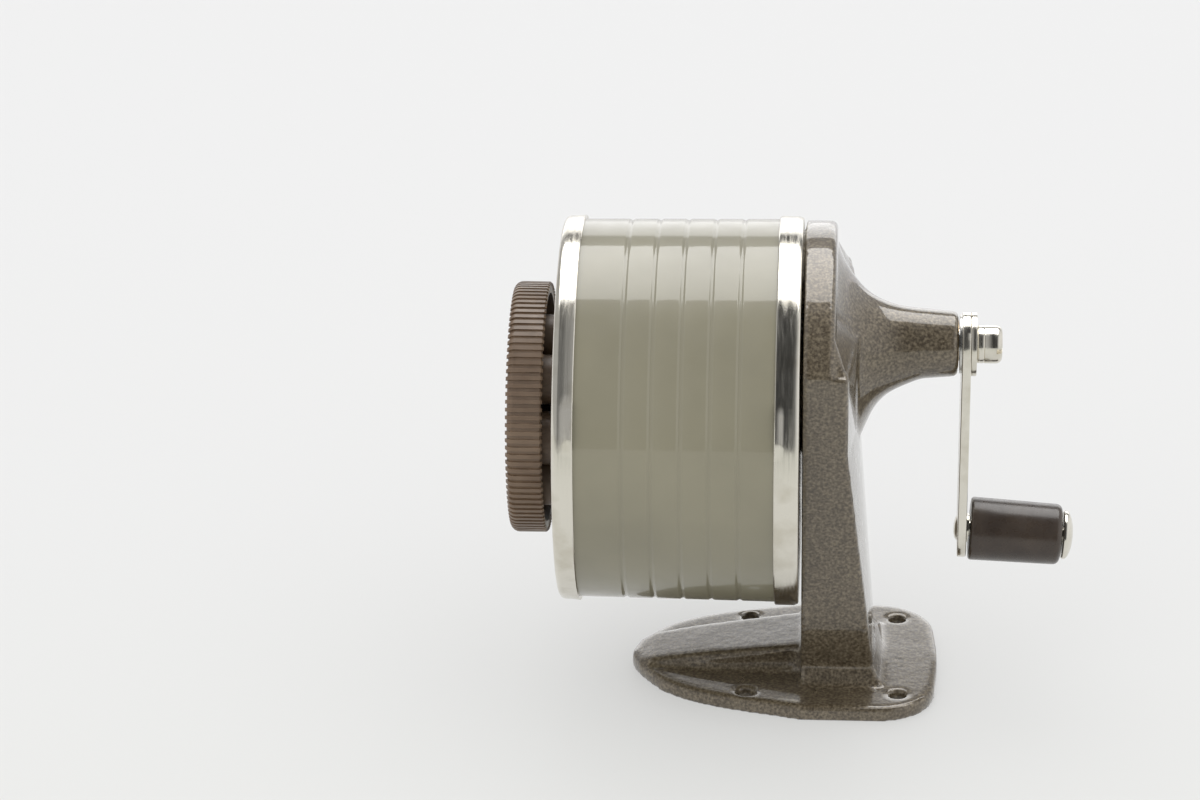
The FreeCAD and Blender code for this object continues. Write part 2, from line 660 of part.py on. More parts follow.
def lock_washer():
    """Split spring washer under the crank screw."""
    washer = ring(RIVET_X, RIVET_X + LOCK_T, LOCK_R, SCREW_R + 0.1)
    slit = block((RIVET_X - 1, RIVET_X + LOCK_T + 1), (-0.4, 0.4), (CUTTER_Z, CUTTER_Z + LOCK_R + 1))
    slit.rotate(V(0, 0, CUTTER_Z), X_DIR, -60)
    return washer.cut(slit)


def crank_screw():
    """Slotted round-head screw that holds the arm on the shaft."""
    start = RIVET_X + LOCK_T
    end = start + SCREW_HEAD_T
    head = turned([(start, 0), (start, SCREW_HEAD_R - 0.4), (start + 0.6, SCREW_HEAD_R),
                   (end - 1.3, SCREW_HEAD_R), (end - 0.5, SCREW_HEAD_R - 0.5),
                   (end, SCREW_HEAD_R - 1.5), (end, 0)])
    shank = disc(RIVET_X - SCREW_L, start + 0.5, SCREW_R)
    slot = block((end - SLOT_DEPTH, end + 1), (-SCREW_HEAD_R - 1, SCREW_HEAD_R + 1),
                 (CUTTER_Z - SLOT_W / 2, CUTTER_Z + SLOT_W / 2))
    return fuse([head, shank]).cut(slot)


def knob_end_x():
    """Outer end of the knob along its own axis."""
    return KNOB_X + KNOB_L


def knob():
    """Long round grip, a little thinner at its outer end, with a bore for the rivet."""
    end = knob_end_x()
    grip = turned([(KNOB_X, 0), (KNOB_X, KNOB_R - 0.5), (KNOB_X + 0.2, KNOB_R - 0.15),
                   (KNOB_X + 0.7, KNOB_R), (end - 1.6, KNOB_END_R), (end - 0.8, KNOB_END_R - 0.25),
                   (end - 0.2, KNOB_END_R - 0.9), (end, KNOB_END_R - 1.6), (end, 0)], RIVET_Z)
    return drooped(grip.cut(disc(KNOB_X - 1, end + 1, KNOB_RIVET_R + RUN, RIVET_Z)))


def knob_rivet():
    """Shouldered rivet that carries the knob, clinched behind the arm."""
    end = knob_end_x() + SLIP
    rim = 0.6
    curve = KNOB_RIVET_HEAD_T - rim
    dome = [(end + rim + curve * math.sin(math.radians(angle)),
             KNOB_RIVET_HEAD_R * math.cos(math.radians(angle))) for angle in range(0, 90, 10)]
    head = turned([(end, 0), (end, KNOB_RIVET_HEAD_R - 0.3)] + dome + [(end + rim + curve, 0)],
                  RIVET_Z)
    shank = disc(ARM_X - CLINCH_T + 0.3, end + 0.5, KNOB_RIVET_R, RIVET_Z)
    shoulder_disc = disc(ARM_X + 1, KNOB_X - SLIP, KNOB_RIVET_R + 1.4, RIVET_Z)
    body = fuse([drooped(head), drooped(shank), drooped(shoulder_disc)])
    inside_arm = block((ARM_X, RIVET_X), (-20, 20), (RIVET_Z - 20, RIVET_Z + 20))
    inside_arm = inside_arm.cut(drooped(disc(ARM_X - 3, RIVET_X + 3, KNOB_RIVET_R, RIVET_Z)))
    clinch = turned([(ARM_X - CLINCH_T, 0), (ARM_X - CLINCH_T, CLINCH_R * 0.6),
                     (ARM_X - CLINCH_T * 0.5, CLINCH_R * 0.92), (ARM_X, CLINCH_R), (ARM_X, 0)],
                    RIVET_Z)
    return fuse([body.cut(inside_arm), clinch])


# --- receptacle -----------------------------------------------------------------------------
def drum_radius(x):
    """Outer radius of the drum tube between its end bands."""
    front = BAND_FRONT_X + FRONT_BAND_W
    back = REAR_BAND_BACK_X - REAR_BAND_W
    share = min(max((x - front) / (back - front), 0.0), 1.0)
    return DRUM_FRONT_R + share * (DRUM_BACK_R - DRUM_FRONT_R)


def drum_profile(offset):
    """Corner and groove edges of the drum tube wall, front to back, moved in by offset."""
    xs = [BAND_FRONT_X + CAP_T, BAND_FRONT_X + FRONT_BAND_W]
    grooves = [GROOVE_LAST_X - GROOVE_PITCH * index for index in range(GROOVES - 1, -1, -1)]

    def point(x, drop=0.0):
        return V(x, 0, DRUM_Z + drum_radius(x) - offset - drop)

    edges = [Part.makeLine(point(xs[0]), point(xs[1]))]
    last = xs[1]
    for middle in grooves:
        start = middle - GROOVE_W / 2
        end = middle + GROOVE_W / 2
        edges.append(Part.makeLine(point(last), point(start)))
        edges.append(Part.Arc(point(start), point(middle, GROOVE_DEPTH), point(end)).toShape())
        last = end
    back = REAR_BAND_BACK_X - REAR_BAND_W
    edges.append(Part.makeLine(point(last), point(back)))
    edges.append(Part.makeLine(point(back), point(REAR_BAND_BACK_X - CAP_T)))
    return edges, point(xs[0]), point(REAR_BAND_BACK_X - CAP_T)


def drum_tube():
    """Thin, slightly tapered tube with rolled grooves."""
    outer, outer_front, outer_back = drum_profile(0.0)
    inner, inner_front, inner_back = drum_profile(DRUM_WALL)
    edges = outer + inner + [Part.makeLine(outer_front, inner_front),
                             Part.makeLine(outer_back, inner_back)]
    face = Part.Face(Part.Wire(Part.__sortEdges__(edges)))
    return face.revolve(V(0, 0, DRUM_Z), X_DIR, 360)


def tab_wedges(edge_x, into, inner, rise):
    """Wedges round the drum that widen towards a band's edge, one for each tab.

    edge_x is the band's edge and into points from it to the middle of the band. The
    wedges start at the radius inner and rise outwards at the edge.
    """
    outline = [(edge_x + into * TAB_L, inner - 0.3), (edge_x + into * TAB_L, inner),
               (edge_x, inner + rise), (edge_x, inner - 0.3)]
    half = inner * math.sin(math.radians(TAB_ANGLE / 2))
    sector = block((edge_x - TAB_L, edge_x + TAB_L), (-half, half), (DRUM_Z, DRUM_Z + 2 * inner))
    wedge = turned(outline, DRUM_Z).common(sector)
    return around(wedge, TABS, DRUM_Z, TAB_START)


def front_cap():
    """Drawn end cap with the pencil opening and the hole for the dial rivet."""
    back = BAND_FRONT_X + FRONT_BAND_W
    cap = disc(BAND_FRONT_X, back, FRONT_BAND_R, DRUM_Z)
    rim = [edge for edge in cap.Edges if edge.BoundBox.XMax < BAND_FRONT_X + 0.01]
    cap = cap.makeFillet(CAP_EDGE, rim)
    cap = fuse([cap] + tab_wedges(back, -1, FRONT_BAND_R, TAB_RISE))
    cap = cap.cut(disc(BAND_FRONT_X + CAP_T, back + 1, DRUM_FRONT_R, DRUM_Z))
    for wedge in tab_wedges(back, -1, DRUM_FRONT_R, TAB_RISE):
        cap = cap.cut(wedge)
    cap = cap.cut(disc(BAND_FRONT_X - 1, BAND_FRONT_X + CAP_T + 1, CAP_HOLE_R))
    return cap.cut(disc(BAND_FRONT_X - 1, BAND_FRONT_X + CAP_T + 1, RIVET_R, DRUM_Z))


def rear_ring():
    """Rear end band with an off-centre opening that slips over the spigot."""
    front = REAR_BAND_BACK_X - REAR_BAND_W
    flange = REAR_BAND_BACK_X - CAP_T
    band = disc(front, REAR_BAND_BACK_X, REAR_BAND_R, DRUM_Z)
    band = fuse([band] + tab_wedges(front, 1, REAR_BAND_R, TAB_RISE))
    band = band.cut(disc(front - 1, flange, DRUM_BACK_R, DRUM_Z))
    for wedge in tab_wedges(front, 1, DRUM_BACK_R, TAB_RISE):
        band = band.cut(wedge)
    lip = disc(flange - LIP_L, REAR_BAND_BACK_X, OPENING_R + LIP_T)
    return fuse([band, lip]).cut(disc(flange - LIP_L - 1, REAR_BAND_BACK_X + 1, OPENING_R))


def dial_rivet():
    """Rivet on which the dial turns."""
    clinch = BAND_FRONT_X + 2 * CAP_T
    return fuse([disc(DIAL_FRONT_X, DIAL_FRONT_X + 1.5, RIVET_HEAD_R, DRUM_Z),
                 disc(DIAL_FRONT_X, clinch + 0.5, RIVET_R, DRUM_Z),
                 disc(clinch, clinch + 1.2, RIVET_R + 1.3, DRUM_Z)])


def dial_washer():
    """Washer inside the front cap, under the clinched end of the dial rivet."""
    start = BAND_FRONT_X + CAP_T
    return ring(start, start + CAP_T, RIVET_R + 3.5, RIVET_R, DRUM_Z)


def dial_spring():
    """Arched leaf spring on the front cap that clicks into the notches of the dial."""
    face = BAND_FRONT_X
    crest = DIAL_BACK_X + SLIP
    leaf = 0.4
    outline = [(-6.0, face), (-6.0, face - leaf), (-4.2, face - leaf), (-1.3, crest),
               (1.3, crest), (4.2, face - leaf), (6.0, face - leaf), (6.0, face),
               (3.9, face), (1.0, crest + leaf), (-1.0, crest + leaf), (-3.9, face)]
    z = DRUM_Z - DIAL_R + 0.6
    strip = Part.Face(polygon([V(x, y, z) for y, x in outline]))
    return strip.extrude(V(0, 0, DIAL_RIM_T + 1.2))


# --- dial -----------------------------------------------------------------------------------
def dial_holes():
    """Angle about the dial axis and radius of each pencil hole, the chosen one on top."""
    holes = []
    for index in range(DIAL_HOLES):
        angle = (index - DIAL_TOP_HOLE) * 360.0 / DIAL_HOLES
        holes.append((angle, DIAL_HOLE_MIN_R + DIAL_HOLE_STEP * index))
    return holes


def pencil_dial():
    """Ridged dial, hollow at the back, with a guide tube behind each pencil hole."""
    tube_end = BAND_FRONT_X - SLIP
    outline = []
    for ridge in range(DIAL_RIDGES):
        step = 2 * math.pi / DIAL_RIDGES
        for radius, turn in ((DIAL_R - DIAL_RIDGE_H, 0.02), (DIAL_R, 0.14),
                             (DIAL_R, 0.58), (DIAL_R - DIAL_RIDGE_H, 0.70)):
            angle = (ridge + turn) * step
            outline.append(V(DIAL_FRONT_X, radius * math.sin(angle),
                             DRUM_Z + radius * math.cos(angle)))
    rim = Part.Face(polygon(outline)).extrude(V(DIAL_W, 0, 0))
    rim = rim.common(turned([(DIAL_FRONT_X, 0), (DIAL_FRONT_X, DIAL_R - 1.6),
                             (DIAL_FRONT_X + 0.5, DIAL_R - 0.6), (DIAL_FRONT_X + 1.4, DIAL_R + 0.1),
                             (DIAL_BACK_X - 0.3, DIAL_R + 0.1), (DIAL_BACK_X, DIAL_R - 0.3),
                             (DIAL_BACK_X, 0)], DRUM_Z))
    rim = rim.cut(disc(DIAL_FRONT_X + DIAL_FACE_T, DIAL_BACK_X + 1, DIAL_R - DIAL_RIM_T, DRUM_Z))
    tubes = [disc(DIAL_FRONT_X, tube_end, DIAL_HUB_R, DRUM_Z)]
    bores = [disc(DIAL_FRONT_X - 1, tube_end + 1, RIVET_R + RUN, DRUM_Z),
             disc(DIAL_FRONT_X - 1, DIAL_FRONT_X + 1.5 + SLIP, RIVET_HEAD_R + SLIP, DRUM_Z)]
    for angle, radius in dial_holes():
        place = DRUM_Z + DIAL_OFFSET
        tube = disc(DIAL_FRONT_X, tube_end, radius + DIAL_TUBE_WALL, place)
        bore = disc(DIAL_FRONT_X - 1, tube_end + 1, radius, place)
        for shape, group in ((tube, tubes), (bore, bores)):
            shape.rotate(V(0, 0, DRUM_Z), X_DIR, angle)
            group.append(shape)
    notch = Part.makeCylinder(DIAL_NOTCH_R, DIAL_RIM_T + 2, V(DIAL_BACK_X, 0, DRUM_Z - DIAL_R - 1))
    bores.extend(around(notch, DIAL_HOLES, DRUM_Z))
    tubes_face = DIAL_FRONT_X + DIAL_FACE_T / 2
    tubes = [tube.cut(disc(DIAL_FRONT_X - 1, tubes_face, DIAL_R, DRUM_Z)) for tube in tubes]
    dial = fuse([rim] + tubes)
    for bore in bores:
        dial = dial.cut(bore)
    return dial


PARTS = {
    "stand_casting": stand_casting,
    "shaft_bush": shaft_bush,
    "ring_gear": ring_gear,
    "ring_gear_screws": ring_gear_screws,
    "receptacle_clips": receptacle_clips,
    "drum_tube": drum_tube,
    "front_cap": front_cap,
    "rear_ring": rear_ring,
    "dial_rivet": dial_rivet,
    "dial_washer": dial_washer,
    "dial_spring": dial_spring,
    "pencil_dial": pencil_dial,
    "crank_shaft": crank_shaft,
    "cutter_frame": cutter_frame,
    "cutter_pins": cutter_pins,
    "hub_washer": hub_washer,
    "arm_washer": arm_washer,
    "crank_arm": crank_arm,
    "lock_washer": lock_washer,
    "crank_screw": crank_screw,
    "knob_rivet": knob_rivet,
    "knob": knob,
    "cutter_a": lambda: cutter(1),
    "cutter_b": lambda: cutter(-1),
    "pinion_a": lambda: pinion(1),
    "pinion_b": lambda: pinion(-1),
}


def main():
    """Build every piece and write it to its own file."""
    os.makedirs("parts", exist_ok=True)
    for name, build in PARTS.items():
        shape = build()
        if shape.ShapeType == "Compound" and len(shape.Solids) == 1:
            shape = shape.Solids[0]
        print(name, len(shape.Solids), shape.isValid(), round(shape.Volume, 1))
        shape.exportStep("parts/" + name + ".step")


main()
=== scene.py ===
"""Looks of a hand-cranked pencil sharpener: hammered enamel stand, ribbed drum, plated bands.

Metres, +Z up, +X from the pencil dial to the crank. Every piece is turned or shaped where it
stands, so its object stays at the origin of the frame.
"""
import json
import logging
import math
from collections.abc import Callable
from dataclasses import dataclass, field
from enum import Enum

import bpy
from mathutils import Matrix, Vector


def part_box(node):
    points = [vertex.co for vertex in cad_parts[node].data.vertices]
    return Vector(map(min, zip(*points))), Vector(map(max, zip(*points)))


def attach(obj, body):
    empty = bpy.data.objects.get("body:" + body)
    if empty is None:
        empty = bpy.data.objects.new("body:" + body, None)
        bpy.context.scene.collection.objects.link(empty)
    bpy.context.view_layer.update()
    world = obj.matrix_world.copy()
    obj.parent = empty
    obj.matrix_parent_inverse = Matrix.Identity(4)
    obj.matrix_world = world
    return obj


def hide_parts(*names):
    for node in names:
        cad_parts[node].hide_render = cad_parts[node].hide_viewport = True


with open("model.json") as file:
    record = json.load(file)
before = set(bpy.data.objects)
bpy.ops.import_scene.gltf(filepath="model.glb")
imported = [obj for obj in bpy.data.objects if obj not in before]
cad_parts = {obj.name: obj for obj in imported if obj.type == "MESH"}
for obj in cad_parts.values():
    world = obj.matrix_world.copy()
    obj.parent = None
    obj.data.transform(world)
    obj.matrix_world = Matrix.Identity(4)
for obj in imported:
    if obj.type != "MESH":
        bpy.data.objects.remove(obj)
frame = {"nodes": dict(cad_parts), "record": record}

LOG = logging.getLogger("sharpener")
MM = 0.001
Outline = list[tuple[float, float]]
Colour = tuple[float, float, float]


class Slot(Enum):
    """Material slots of the record."""

    HAMMERTONE = "hammertone_paint"
    DRUM = "drum_paint"
    NICKEL = "nickel_plate"
    STEEL = "plated_steel"
    HARD_STEEL = "hardened_steel"
    CAST = "cast_frame"
    BRONZE = "bronze"
    DIAL = "dial_plastic"
    KNOB = "knob_plastic"


class Body(Enum):
    """Bodies of the frame that new pieces ride on."""

    STAND = "stand"
    RECEPTACLE = "receptacle"
    DIAL = "dial"
    CRANK = "crank"
    KNOB = "knob"


# --- finishes -------------------------------------------------------------------------------
class NodeBoard:
    """A material's node tree, with short calls for adding and joining nodes."""

    def __init__(self, name: str) -> None:
        """Start an empty material with a shader and an output.

        Args:
            name: the material's name.
        """
        self.material = bpy.data.materials.new(name)
        self.material.use_nodes = True
        self.tree = self.material.node_tree
        self.shader = next(n for n in self.tree.nodes if n.type == "BSDF_PRINCIPLED")
        self.place = self.tree.nodes.new("ShaderNodeTexCoord").outputs["Object"]

    def add(self, kind: str, **values: object) -> bpy.types.Node:
        """Add a node and set its properties.

        Args:
            kind: the node's type name.
            values: properties of the node.
        Returns:
            The new node.
        """
        node = self.tree.nodes.new(kind)
        for key, value in values.items():
            setattr(node, key, value)
        return node

    def join(self, start: bpy.types.NodeSocket, end: bpy.types.NodeSocket) -> None:
        """Link two sockets.

        Args:
            start: the output socket.
            end: the input socket.
        """
        self.tree.links.new(start, end)

    def set(self, **values: object) -> None:
        """Set constants on the shader's own sockets.

        Args:
            values: socket names, with an underscore for each space, and their values.
        """
        for key, value in values.items():
            if isinstance(value, tuple) and len(value) == 3:
                value = (*value, 1.0)
            self.shader.inputs[key.replace("_", " ")].default_value = value

    def stretched(self, scale: Colour) -> bpy.types.NodeSocket:
        """Object coordinates stretched by a scale on each axis.

        Args:
            scale: the factor on X, Y and Z.
        Returns:
            The socket that gives the coordinates.
        """
        mapping = self.add("ShaderNodeMapping")
        mapping.inputs["Scale"].default_value = scale
        self.join(self.place, mapping.inputs["Vector"])
        return mapping.outputs["Vector"]

    def noise(self, scale: float, detail: float = 3.0,
              place: bpy.types.NodeSocket | None = None) -> bpy.types.NodeSocket:
        """Noise pattern.

        Args:
            scale: cells per metre.
            detail: octaves.
            place: coordinates, or None for the plain ones.
        Returns:
            The pattern's value socket.
        """
        node = self.add("ShaderNodeTexNoise")
        node.inputs["Scale"].default_value = scale
        node.inputs["Detail"].default_value = detail
        self.join(place or self.place, node.inputs["Vector"])
        return node.outputs["Fac"]

    def cells(self, scale: float, smooth: float = 0.6) -> bpy.types.NodeSocket:
        """Soft cell pattern, low in the middle of each cell.

        Args:
            scale: cells per metre.
            smooth: how far the cells melt together.
        Returns:
            The distance socket.
        """
        warp = self.add("ShaderNodeTexNoise")
        warp.inputs["Scale"].default_value = scale * 0.7
        self.join(self.place, warp.inputs["Vector"])
        mix = self.add("ShaderNodeMix", data_type="VECTOR")
        mix.inputs["Factor"].default_value = 0.0009
        self.join(self.place, mix.inputs["A"])
        self.join(warp.outputs["Color"], mix.inputs["B"])
        node = self.add("ShaderNodeTexVoronoi", feature="SMOOTH_F1")
        node.inputs["Scale"].default_value = scale
        node.inputs["Smoothness"].default_value = smooth
        self.join(mix.outputs["Result"], node.inputs["Vector"])
        return node.outputs["Distance"]

    def ramp(self, value: bpy.types.NodeSocket, stops: list[tuple[float, Colour]]
             ) -> bpy.types.NodeSocket:
        """Turn a pattern's value into colours.

        Args:
            value: the pattern.
            stops: place and colour of each stop, lowest first.
        Returns:
            The colour socket.
        """
        node = self.add("ShaderNodeValToRGB")
        marks = node.color_ramp.elements
        while len(marks) < len(stops):
            marks.new(0.5)
        for mark, (place, colour) in zip(marks, stops):
            mark.position = place
            mark.color = (*colour, 1.0)
        self.join(value, node.inputs["Fac"])
        return node.outputs["Color"]

    def spread(self, value: bpy.types.NodeSocket, low: float, high: float,
               start: float = 0.3, end: float = 0.7) -> bpy.types.NodeSocket:
        """Map a pattern's value to a range.

        Args:
            value: the pattern.
            low: result at start.
            high: result at end.
            start: pattern value that gives low.
            end: pattern value that gives high.
        Returns:
            The value socket.
        """
        node = self.add("ShaderNodeMapRange")
        for key, number in (("From Min", start), ("From Max", end), ("To Min", low),
                            ("To Max", high)):
            node.inputs[key].default_value = number
        self.join(value, node.inputs["Value"])
        return node.outputs["Result"]

    def worn_edges(self, bright: Colour, base: bpy.types.NodeSocket, amount: float,
                   radius: float) -> bpy.types.NodeSocket:
        """Mix a lighter colour in along sharp edges, broken up by noise.

        Args:
            bright: colour of the worn edge.
            base: colour elsewhere.
            amount: strength of the wear.
            radius: width of the worn edge in metres.
        Returns:
            The colour socket.
        """
        bevel = self.add("ShaderNodeBevel", samples=4)
        bevel.inputs["Radius"].default_value = radius
        geometry = self.add("ShaderNodeNewGeometry")
        dot = self.add("ShaderNodeVectorMath", operation="DOT_PRODUCT")
        self.join(bevel.outputs["Normal"], dot.inputs[0])
        self.join(geometry.outputs["Normal"], dot.inputs[1])
        edge = self.spread(dot.outputs["Value"], amount, 0.0, 0.90, 0.995)
        patch = self.add("ShaderNodeMath", operation="MULTIPLY")
        self.join(edge, patch.inputs[0])
        self.join(self.spread(self.noise(350.0, 4.0), 0.0, 1.0, 0.4, 0.62), patch.inputs[1])
        mix = self.add("ShaderNodeMix", data_type="RGBA")
        self.join(patch.outputs["Value"], mix.inputs["Factor"])
        self.join(base, mix.inputs["A"])
        mix.inputs["B"].default_value = (*bright, 1.0)
        return mix.outputs["Result"]

    def paint(self, colour: bpy.types.NodeSocket) -> None:
        """Use a colour socket as the base colour.

        Args:
            colour: the socket.
        """
        self.join(colour, self.shader.inputs["Base Color"])

    def roughen(self, value: bpy.types.NodeSocket) -> None:
        """Use a value socket as the roughness.

        Args:
            value: the socket.
        """
        self.join(value, self.shader.inputs["Roughness"])

    def relief(self, *layers: tuple[bpy.types.NodeSocket, float, float]
               ) -> bpy.types.NodeSocket:
        """Stack bump layers on one another.

        Args:
            layers: height socket, strength and depth in metres of each layer.
        Returns:
            The normal of the last layer.
        """
        last = None
        for height, strength, depth in layers:
            node = self.add("ShaderNodeBump")
            node.inputs["Strength"].default_value = strength
            node.inputs["Distance"].default_value = depth
            self.join(height, node.inputs["Height"])
            if last is not None:
                self.join(last, node.inputs["Normal"])
            last = node.outputs["Normal"]
        return last

    def bump(self, *layers: tuple[bpy.types.NodeSocket, float, float]) -> None:
        """Give the surface a relief of stacked bump layers.

        Args:
            layers: height socket, strength and depth in metres of each layer.
        """
        self.join(self.relief(*layers), self.shader.inputs["Normal"])

    def bump_coat(self, *layers: tuple[bpy.types.NodeSocket, float, float]) -> None:
        """Give the clear coat a relief of its own.

        Args:
            layers: height socket, strength and depth in metres of each layer.
        """
        self.join(self.relief(*layers), self.shader.inputs["Coat Normal"])


@dataclass(frozen=True)
class Hammertone:
    """Glossy hammered enamel: soft dimples over a fine mottle of flakes."""

    dark: Colour = (0.060, 0.044, 0.026)
    light: Colour = (0.180, 0.146, 0.097)
    dimples: float = 620.0
    mottle: float = 1500.0

    def build(self) -> bpy.types.Material:
        """Make the material.

        Returns:
            The material.
        """
        board = NodeBoard("hammered_enamel")
        cells = board.cells(self.dimples)
        fine = board.noise(self.mottle, 4.0)
        colour = board.ramp(fine, [(0.36, self.dark), (0.52, self.mid()), (0.66, self.light)])
        board.paint(board.worn_edges((0.30, 0.27, 0.22), colour, 0.25, 0.5 * MM))
        board.roughen(board.spread(board.noise(300.0), 0.26, 0.38))
        board.set(Metallic=0.25, Specular_IOR_Level=0.5, Coat_Weight=1.0, Coat_Roughness=0.03)
        wave = board.noise(90.0, 2.0)
        board.bump((cells, 0.35, 0.12 * MM), (fine, 0.2, 0.05 * MM), (wave, 0.25, 0.5 * MM))
        board.bump_coat((cells, 0.15, 0.02 * MM), (wave, 0.15, 0.15 * MM))
        return board.material

    def mid(self) -> Colour:
        """Colour between the dark and light flakes.

        Returns:
            The colour.
        """
        return tuple((a + b) * 0.47 for a, b in zip(self.dark, self.light))


@dataclass(frozen=True)
class DrumEnamel:
    """Khaki enamel under a glossy coat on rolled sheet, with a faint orange peel."""

    base: Colour = (0.212, 0.197, 0.138)

    def build(self) -> bpy.types.Material:
        """Make the material.

        Returns:
            The material.
        """
        board = NodeBoard("khaki_enamel")
        cloud = board.noise(45.0, 4.0)
        shade = tuple(c * 0.93 for c in self.base)
        tint = tuple(c * 1.05 for c in self.base)
        board.paint(board.ramp(cloud, [(0.3, shade), (0.5, self.base), (0.72, tint)]))
        board.roughen(board.spread(board.noise(220.0, 4.0), 0.30, 0.40))
        board.set(Specular_IOR_Level=0.4, Coat_Weight=0.8, Coat_Roughness=0.06)
        board.bump((board.noise(900.0, 2.0), 0.12, 0.03 * MM),
                   (board.noise(60.0, 2.0), 0.18, 0.25 * MM))
        return board.material


@dataclass(frozen=True)
class Metal:
    """Bare or plated metal with rubbed streaks along one direction."""

    name: str
    base: Colour
    low: float
    high: float
    stretch: Colour = (1.0, 1.0, 1.0)
    streaks: float = 900.0
    depth: float = 0.02 * MM
    tarnish: Colour | None = None

    def build(self) -> bpy.types.Material:
        """Make the material.

        Returns:
            The material.
        """
        board = NodeBoard(self.name)
        place = board.stretched(self.stretch)
        streak = board.noise(self.streaks, 4.0, place)
        spots = board.noise(130.0, 5.0)
        dull = self.tarnish or tuple(c * 0.8 for c in self.base)
        board.paint(board.ramp(spots, [(0.34, dull), (0.52, self.base), (1.0, self.base)]))
        board.roughen(board.spread(streak, self.low, self.high))
        board.set(Metallic=1.0)
        board.bump((streak, 0.25, self.depth), (board.noise(70.0, 2.0), 0.12, 0.2 * MM))
        return board.material


@dataclass(frozen=True)
class Plastic:
    """Moulded plastic with a faint flow pattern and handling scuffs."""

    name: str
    base: Colour
    light: Colour
    low: float
    high: float
    coat: float

    def build(self) -> bpy.types.Material:
        """Make the material.

        Returns:
            The material.
        """
        board = NodeBoard(self.name)
        flow = board.noise(160.0, 4.0)
        colour = board.ramp(flow, [(0.32, self.base), (0.7, self.light)])
        board.paint(board.worn_edges(tuple(c * 1.9 for c in self.light), colour, 0.35, 0.3 * MM))
        board.roughen(board.spread(board.noise(500.0, 5.0), self.low, self.high))
        board.set(Specular_IOR_Level=0.5, Coat_Weight=self.coat, Coat_Roughness=0.15)
        board.bump((board.noise(1400.0, 3.0), 0.15, 0.03 * MM),
                   (board.noise(110.0, 2.0), 0.12, 0.2 * MM))
        return board.material


FINISHES = {
    Slot.HAMMERTONE: Hammertone(),
    Slot.DRUM: DrumEnamel(),
    Slot.NICKEL: Metal("nickel_plate", (0.76, 0.73, 0.655), 0.10, 0.26,
                       (3.0, 0.25, 0.25), 700.0, 0.03 * MM, (0.66, 0.625, 0.54)),
    Slot.STEEL: Metal("zinc_plate", (0.62, 0.61, 0.58), 0.22, 0.36),
    Slot.HARD_STEEL: Metal("ground_steel", (0.50, 0.50, 0.49), 0.18, 0.32, (0.3, 1.0, 1.0)),
    Slot.CAST: Metal("cast_metal", (0.42, 0.42, 0.40), 0.38, 0.55, streaks=1200.0,
                     depth=0.08 * MM),
    Slot.BRONZE: Metal("bush_bronze", (0.62, 0.44, 0.24), 0.3, 0.45),
    Slot.DIAL: Plastic("dial_plastic", (0.118, 0.074, 0.044), (0.172, 0.116, 0.074),
                       0.34, 0.46, 0.1),
    Slot.KNOB: Plastic("knob_plastic", (0.030, 0.020, 0.014), (0.048, 0.034, 0.024),
                       0.24, 0.34, 0.2),
}


class Paintbox:
    """Makes each finish once and gives it to pieces and CAD nodes."""

    def __init__(self) -> None:
        """Start with no material made."""
        self.made: dict[Slot, bpy.types.Material] = {}

    def material(self, slot: Slot) -> bpy.types.Material:
        """The material for a slot, made at its first use.

        Args:
            slot: the finish.
        Returns:
            The material.
        """
        if slot not in self.made:
            self.made[slot] = FINISHES[slot].build()
        return self.made[slot]

    def dress(self, piece: bpy.types.Object, slot: Slot) -> None:
        """Give a piece one finish all over.

        Args:
            piece: the piece.
            slot: its finish.
        """
        piece.data.materials.clear()
        piece.data.materials.append(self.material(slot))

    def dress_nodes(self) -> None:
        """Give every CAD node the finish that the record names for it."""
        for entry in frame["record"]["subparts"]:
            node = frame["nodes"][entry["node"]]
            for holder in node.material_slots:
                holder.material = self.material(Slot(entry["material_slot"]))


PAINTS = Paintbox()


# --- modelling ------------------------------------------------------------------------------
def rest_hands() -> None:
    """Leave edit mode and deselect everything."""
    if bpy.context.object and bpy.context.object.mode != "OBJECT":
        bpy.ops.object.mode_set(mode="OBJECT")
    bpy.ops.object.select_all(action="DESELECT")


def finish_place(name: str) -> bpy.types.Object:
    """Name the active object and put its place into its mesh.

    Args:
        name: the piece's name.
    Returns:
        The object.
    """
    piece = bpy.context.object
    piece.name = name
    piece.data.name = name
    bpy.ops.object.transform_apply(location=True, rotation=True, scale=True)
    return piece


def arc(centre: tuple[float, float], radius: float, start: float, end: float,
        steps: int = 5) -> Outline:
    """Points on an arc in the outline plane, angles in degrees from the +X direction.

    Args:
        centre: the arc's centre, as place along X and radius from the axis.
        radius: the arc's radius.
        start: first angle.
        end: last angle.
        steps: number of equal steps.
    Returns:
        The points, both ends included.
    """
    points = []
    for step in range(steps + 1):
        angle = math.radians(start + (end - start) * step / steps)
        points.append((centre[0] + radius * math.cos(angle),
                       centre[1] + radius * math.sin(angle)))
    return points


